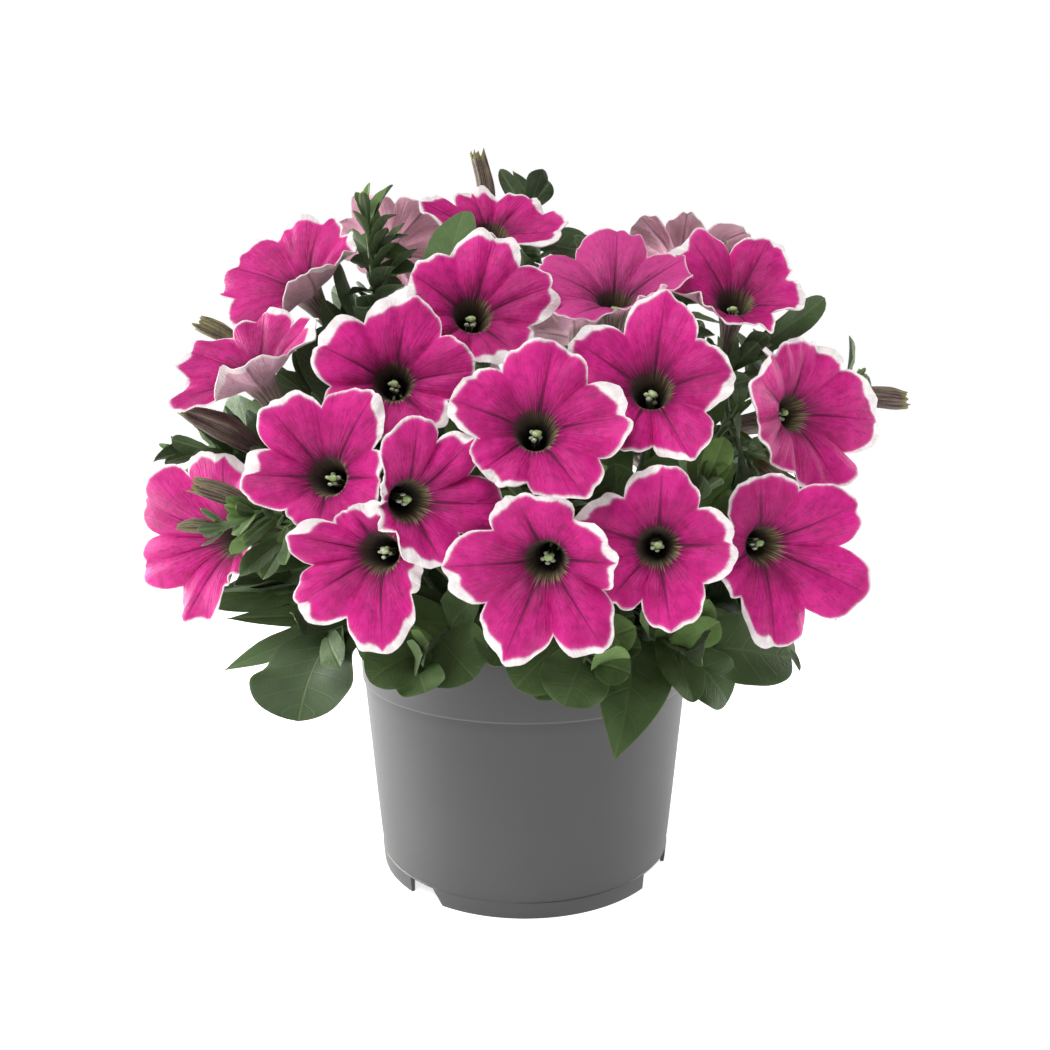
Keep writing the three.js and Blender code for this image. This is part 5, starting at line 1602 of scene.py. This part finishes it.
def make_leaves(number, plant, finish):
    """All blades of one stem: the leaves of its solid, finer ones between them, the
    young leaves at its tip, and the sepals of its cups."""
    world, route, branch = plant.world, plant.routes[number], plant.branches.get(number)
    mine = list(plant.leaves[number])
    mine += gap_leaves(world, number, route)
    mine += tip_leaves(world, number, route)
    mine += grow_leaves(world, number, route, seed=900 + number, **FINE_LEAVES)
    if branch:
        mine += grow_leaves(world, number, branch, seed=1300 + number, **BRANCH_LEAVES)
    mine += grow_leaves(world, number, route, seed=700 + number, **INNER_LEAVES)
    draw = np.random.default_rng(number)
    for leaf in mine:
        leaf.setdefault("tone", draw.uniform(0, 0.35 if "taper" in leaf else 1))
    for items, cup in ((plant.blooms, BLOOM_CUP), (plant.buds, BUD_CUP)):
        for item in items:
            if item["stem"] == number:
                mine += cup_sepals(item, cup, 600 + number + int(item["name"]))
    large = [leaf for leaf in mine if "taper" in leaf and leaf["width"] >= LARGE_LEAF]
    small = [leaf for leaf in mine if "taper" not in leaf or leaf["width"] < LARGE_LEAF]
    shape = Shape()
    for group, grid in ((large, LARGE_BLADE), (small, SMALL_BLADE)):
        if group:
            points, faces, values = blades(group, *grid)
            shape.add(points, faces, **values)
    shape.piece(f"stem_{number:02d}_leaves", finish, "leaf", crease=80)


def make_corollas(plant, finish):
    for bloom in plant.blooms:
        look = {**PLAIN_LOOK, **BLOOM_LOOKS.get(bloom["name"], {})}
        name = f"corolla_{bloom['name']}"
        corolla(bloom, look).piece(name + "_petals", finish, "petal", [name], crease=80)


# Hearts: half sizes of an anther and of the stigma, and thickness of their threads
ANTHER = [0.95, 0.72, 1.05]
STIGMA = [1.5, 1.15, 0.75]
THREAD = 0.28


def make_hearts(plant, finish):
    """Green stigma and five anthers crowded under it in the throat of each bloom."""
    shape = Shape()
    for bloom in plant.blooms:
        draw = np.random.default_rng(int(bloom["name"]))
        axes = np.array(bloom["frame"])[None]
        angle = draw.uniform(0, FIFTH_TURN) + FIFTH_TURN * np.arange(5.0) + draw.uniform(-14, 14, 5)
        radius = draw.uniform(1.15, 1.8, 5)
        height = draw.uniform(-5.6, -3.4, 5)
        anthers = around(bloom, bloom["eye"], angle, radius, height)
        sizes = np.array(ANTHER) * draw.uniform(0.75, 1.05, (5, 3))
        shape.add(*ellipsoids(anthers, axes * sizes[:, :, None], 7, 8, rough=0.06, seed=3), young=0)
        stigma = around(bloom, bloom["eye"], angle[:1], np.array([0.5]), np.array([-2.9]))
        sizes = np.array([STIGMA])
        shape.add(*ellipsoids(stigma, axes * sizes[:, :, None], 7, 10, rough=0.04, seed=5), young=1)
        low = np.full(6, 1.0 - TUBE_LENGTH)
        foot = around(bloom, bloom["eye"], np.append(angle, 0), np.append(radius * 0.3, 0), low)
        ends = np.vstack([anthers, stigma])
        t = np.linspace(0, 1, 6)[None, :, None]
        points = tubes(foot[:, None] * (1 - t) + ends[:, None] * t, np.full((6, 6), THREAD), 5)
        shape.add(points, ring_stack_faces(6, 6, 5), young=0.6)
    shape.piece("bloom_hearts", finish, "leaf", crease=70)


# Buds: rows and sides of the tube, rows of the mouth, and how far inside it closes
BUD_ROWS = 34
BUD_SIDES = 44
MOUTH_ROWS = 5
MOUTH_DEPTH = 4


def furled(bud, style):
    """One furled bud as a closed body.

    Its girth is read between a few places along it and smoothed. Five ridges twist
    round it as a power of the way along, with fine creases that deepen toward the rim,
    and the rim rises and falls with the sixth power of that way.
    """
    (near_rim, at_rim), twist, depth, teeth, (sway, bow), warm = style
    seed = int(bud["name"])
    share = np.linspace(0, 1, BUD_ROWS)
    girth = np.interp(share, [0, 0.22, 0.55, 0.85, 1], [0.55, 0.82, 1, near_rim, at_rim])
    girth = np.convolve(np.pad(girth, 2, "edge"), np.ones(5) / 5, "valid")[:, None]
    a = 2 * np.pi * np.arange(BUD_SIDES) / BUD_SIDES
    turn = np.degrees(a)
    s = share[:, None]
    ridge = np.cos(5 * a[None] + twist * s**1.5)
    crease = 0.05 * ring_wave(turn, seed + 40, (7, 11, 16)) * s
    radius = bud["radius"] * girth * (1 + depth * ridge * np.clip(s * 3, 0.2, 1) + crease)
    teeth = teeth * ring_wave(turn, seed + 70, (2, 5, 9))
    height = FIT_GAP + s * (bud["length"] - FIT_GAP) + teeth * s**6
    # the mouth, closed a little way inside
    q = np.linspace(0, 1, MOUTH_ROWS + 1)[1:, None]
    radius = np.concatenate([radius, radius[-1] * (1 - 0.9 * q)])
    height = np.concatenate([height, height[-1] * (1 - q) + (bud["length"] - MOUTH_DEPTH) * q])
    ridge = np.concatenate([ridge, np.repeat(ridge[-1:], MOUTH_ROWS, 0)])
    along = np.concatenate([s, 1 + 0.6 * q]) + 0 * radius
    right, up, _ = bud["frame"]
    centre = bud["seat"] + (right * sway + up * bow) * np.sin(np.pi * np.minimum(along, 1)[:, :1, None])
    points = around(bud, centre, turn[None] + 0 * radius, radius, height)
    faces = grid_faces(len(radius), BUD_SIDES)
    turned = outward_faces(points, faces)
    first = list(range(BUD_SIDES))
    last = list(range((len(radius) - 1) * BUD_SIDES, len(radius) * BUD_SIDES))
    caps = [first[::-1], last] if (turned == faces).all() else [first, last[::-1]]
    vein = np.stack([5 * np.cos(a) + 0 * radius, 5 * np.sin(a) + 0 * radius, 1.6 * along + seed], -1)
    shape = Shape()
    # rib is 1 in the grooves between the ridges, where the finish paints shade
    shape.add(points, turned.tolist() + caps, along=along.ravel(), rib=(0.5 - 0.5 * ridge).ravel(),
              warm=warm, vein=vein.reshape(-1, 3))
    return shape


def make_buds(plant, finish):
    for bud in plant.buds:
        name = f"bud_{bud['name']}"
        furled(bud, BUD_STYLES[bud["name"]]).piece(name + "_furled", finish, "bud", [name], crease=60)


def set_stage():
    """Pale floor, white room light, three soft lamps, and two narrow ones on the pot."""
    mesh = bpy.data.meshes.new("floor")
    mesh.from_pydata([(-4, -4, 0), (4, -4, 0), (4, 4, 0), (-4, 4, 0)], [], [(0, 1, 2, 3)])
    mesh.materials.append(floor_finish())
    floor = bpy.data.objects.new("floor", mesh)
    bpy.context.scene.collection.objects.link(floor)
    world = bpy.data.worlds.new("room")
    world.use_nodes = True
    bpy.context.scene.world = world
    nodes, links = world.node_tree.nodes, world.node_tree.links
    seen = nodes.new("ShaderNodeLightPath").outputs["Is Camera Ray"]
    level = nodes.new("ShaderNodeMapRange")
    level.inputs["To Min"].default_value = ROOM_LIGHT
    level.inputs["To Max"].default_value = 1.0
    links.new(seen, level.inputs["Value"])
    background = nodes["Background"]
    background.inputs["Color"].default_value = (1, 1, 1, 1)
    links.new(level.outputs["Result"], background.inputs["Strength"])
    for name, kind, place, size, power, aim in LAMPS:
        data = bpy.data.lights.new(name, kind)
        data.energy = power
        if kind == "AREA":
            data.shape, data.size = "DISK", size
        else:
            data.spot_size, data.spot_blend, data.shadow_soft_size = math.radians(size), 0.6, 0.08
        lamp = bpy.data.objects.new(name, data)
        lamp.location = place
        aim = np.array([0, 0, aim]) - np.array(place)
        flat = math.hypot(aim[0], aim[1])
        lamp.rotation_euler = (math.atan2(flat, -aim[2]), 0, math.atan2(aim[1], aim[0]) - math.pi / 2)
        bpy.context.scene.collection.objects.link(lamp)
    bpy.context.scene.view_settings.view_transform = "Standard"


def place_camera():
    data = bpy.data.cameras.new("camera")
    data.sensor_fit = "HORIZONTAL"
    data.sensor_width = 36
    data.lens = 36 * FOCAL / PHOTO_SIZE
    camera = bpy.data.objects.new("camera", data)
    camera.location = CAMERA_PLACE
    camera.rotation_euler = (math.radians(90 - CAMERA_PITCH), 0, 0)
    bpy.context.scene.collection.objects.link(camera)
    bpy.context.scene.camera = camera


place_camera()
set_stage()
plant = grow_plant()
for stem, index, shift, share, tone in LEAF_TRIMS:
    leaf = plant.leaves[stem][index]
    leaf.update(tip=leaf["tip"] + np.array(shift, float), width=leaf["width"] * share, tone=tone)
make_pot(pot_finish())
make_soil(soil_finish())
stem_green, leaf_green = stem_finish(), leaf_finish()
for number in plant.routes:
    make_stalks(number, plant, stem_green)
    make_leaves(number, plant, leaf_green)
make_corollas(plant, petal_finish())
make_hearts(plant, heart_finish())
make_buds(plant, bud_finish())
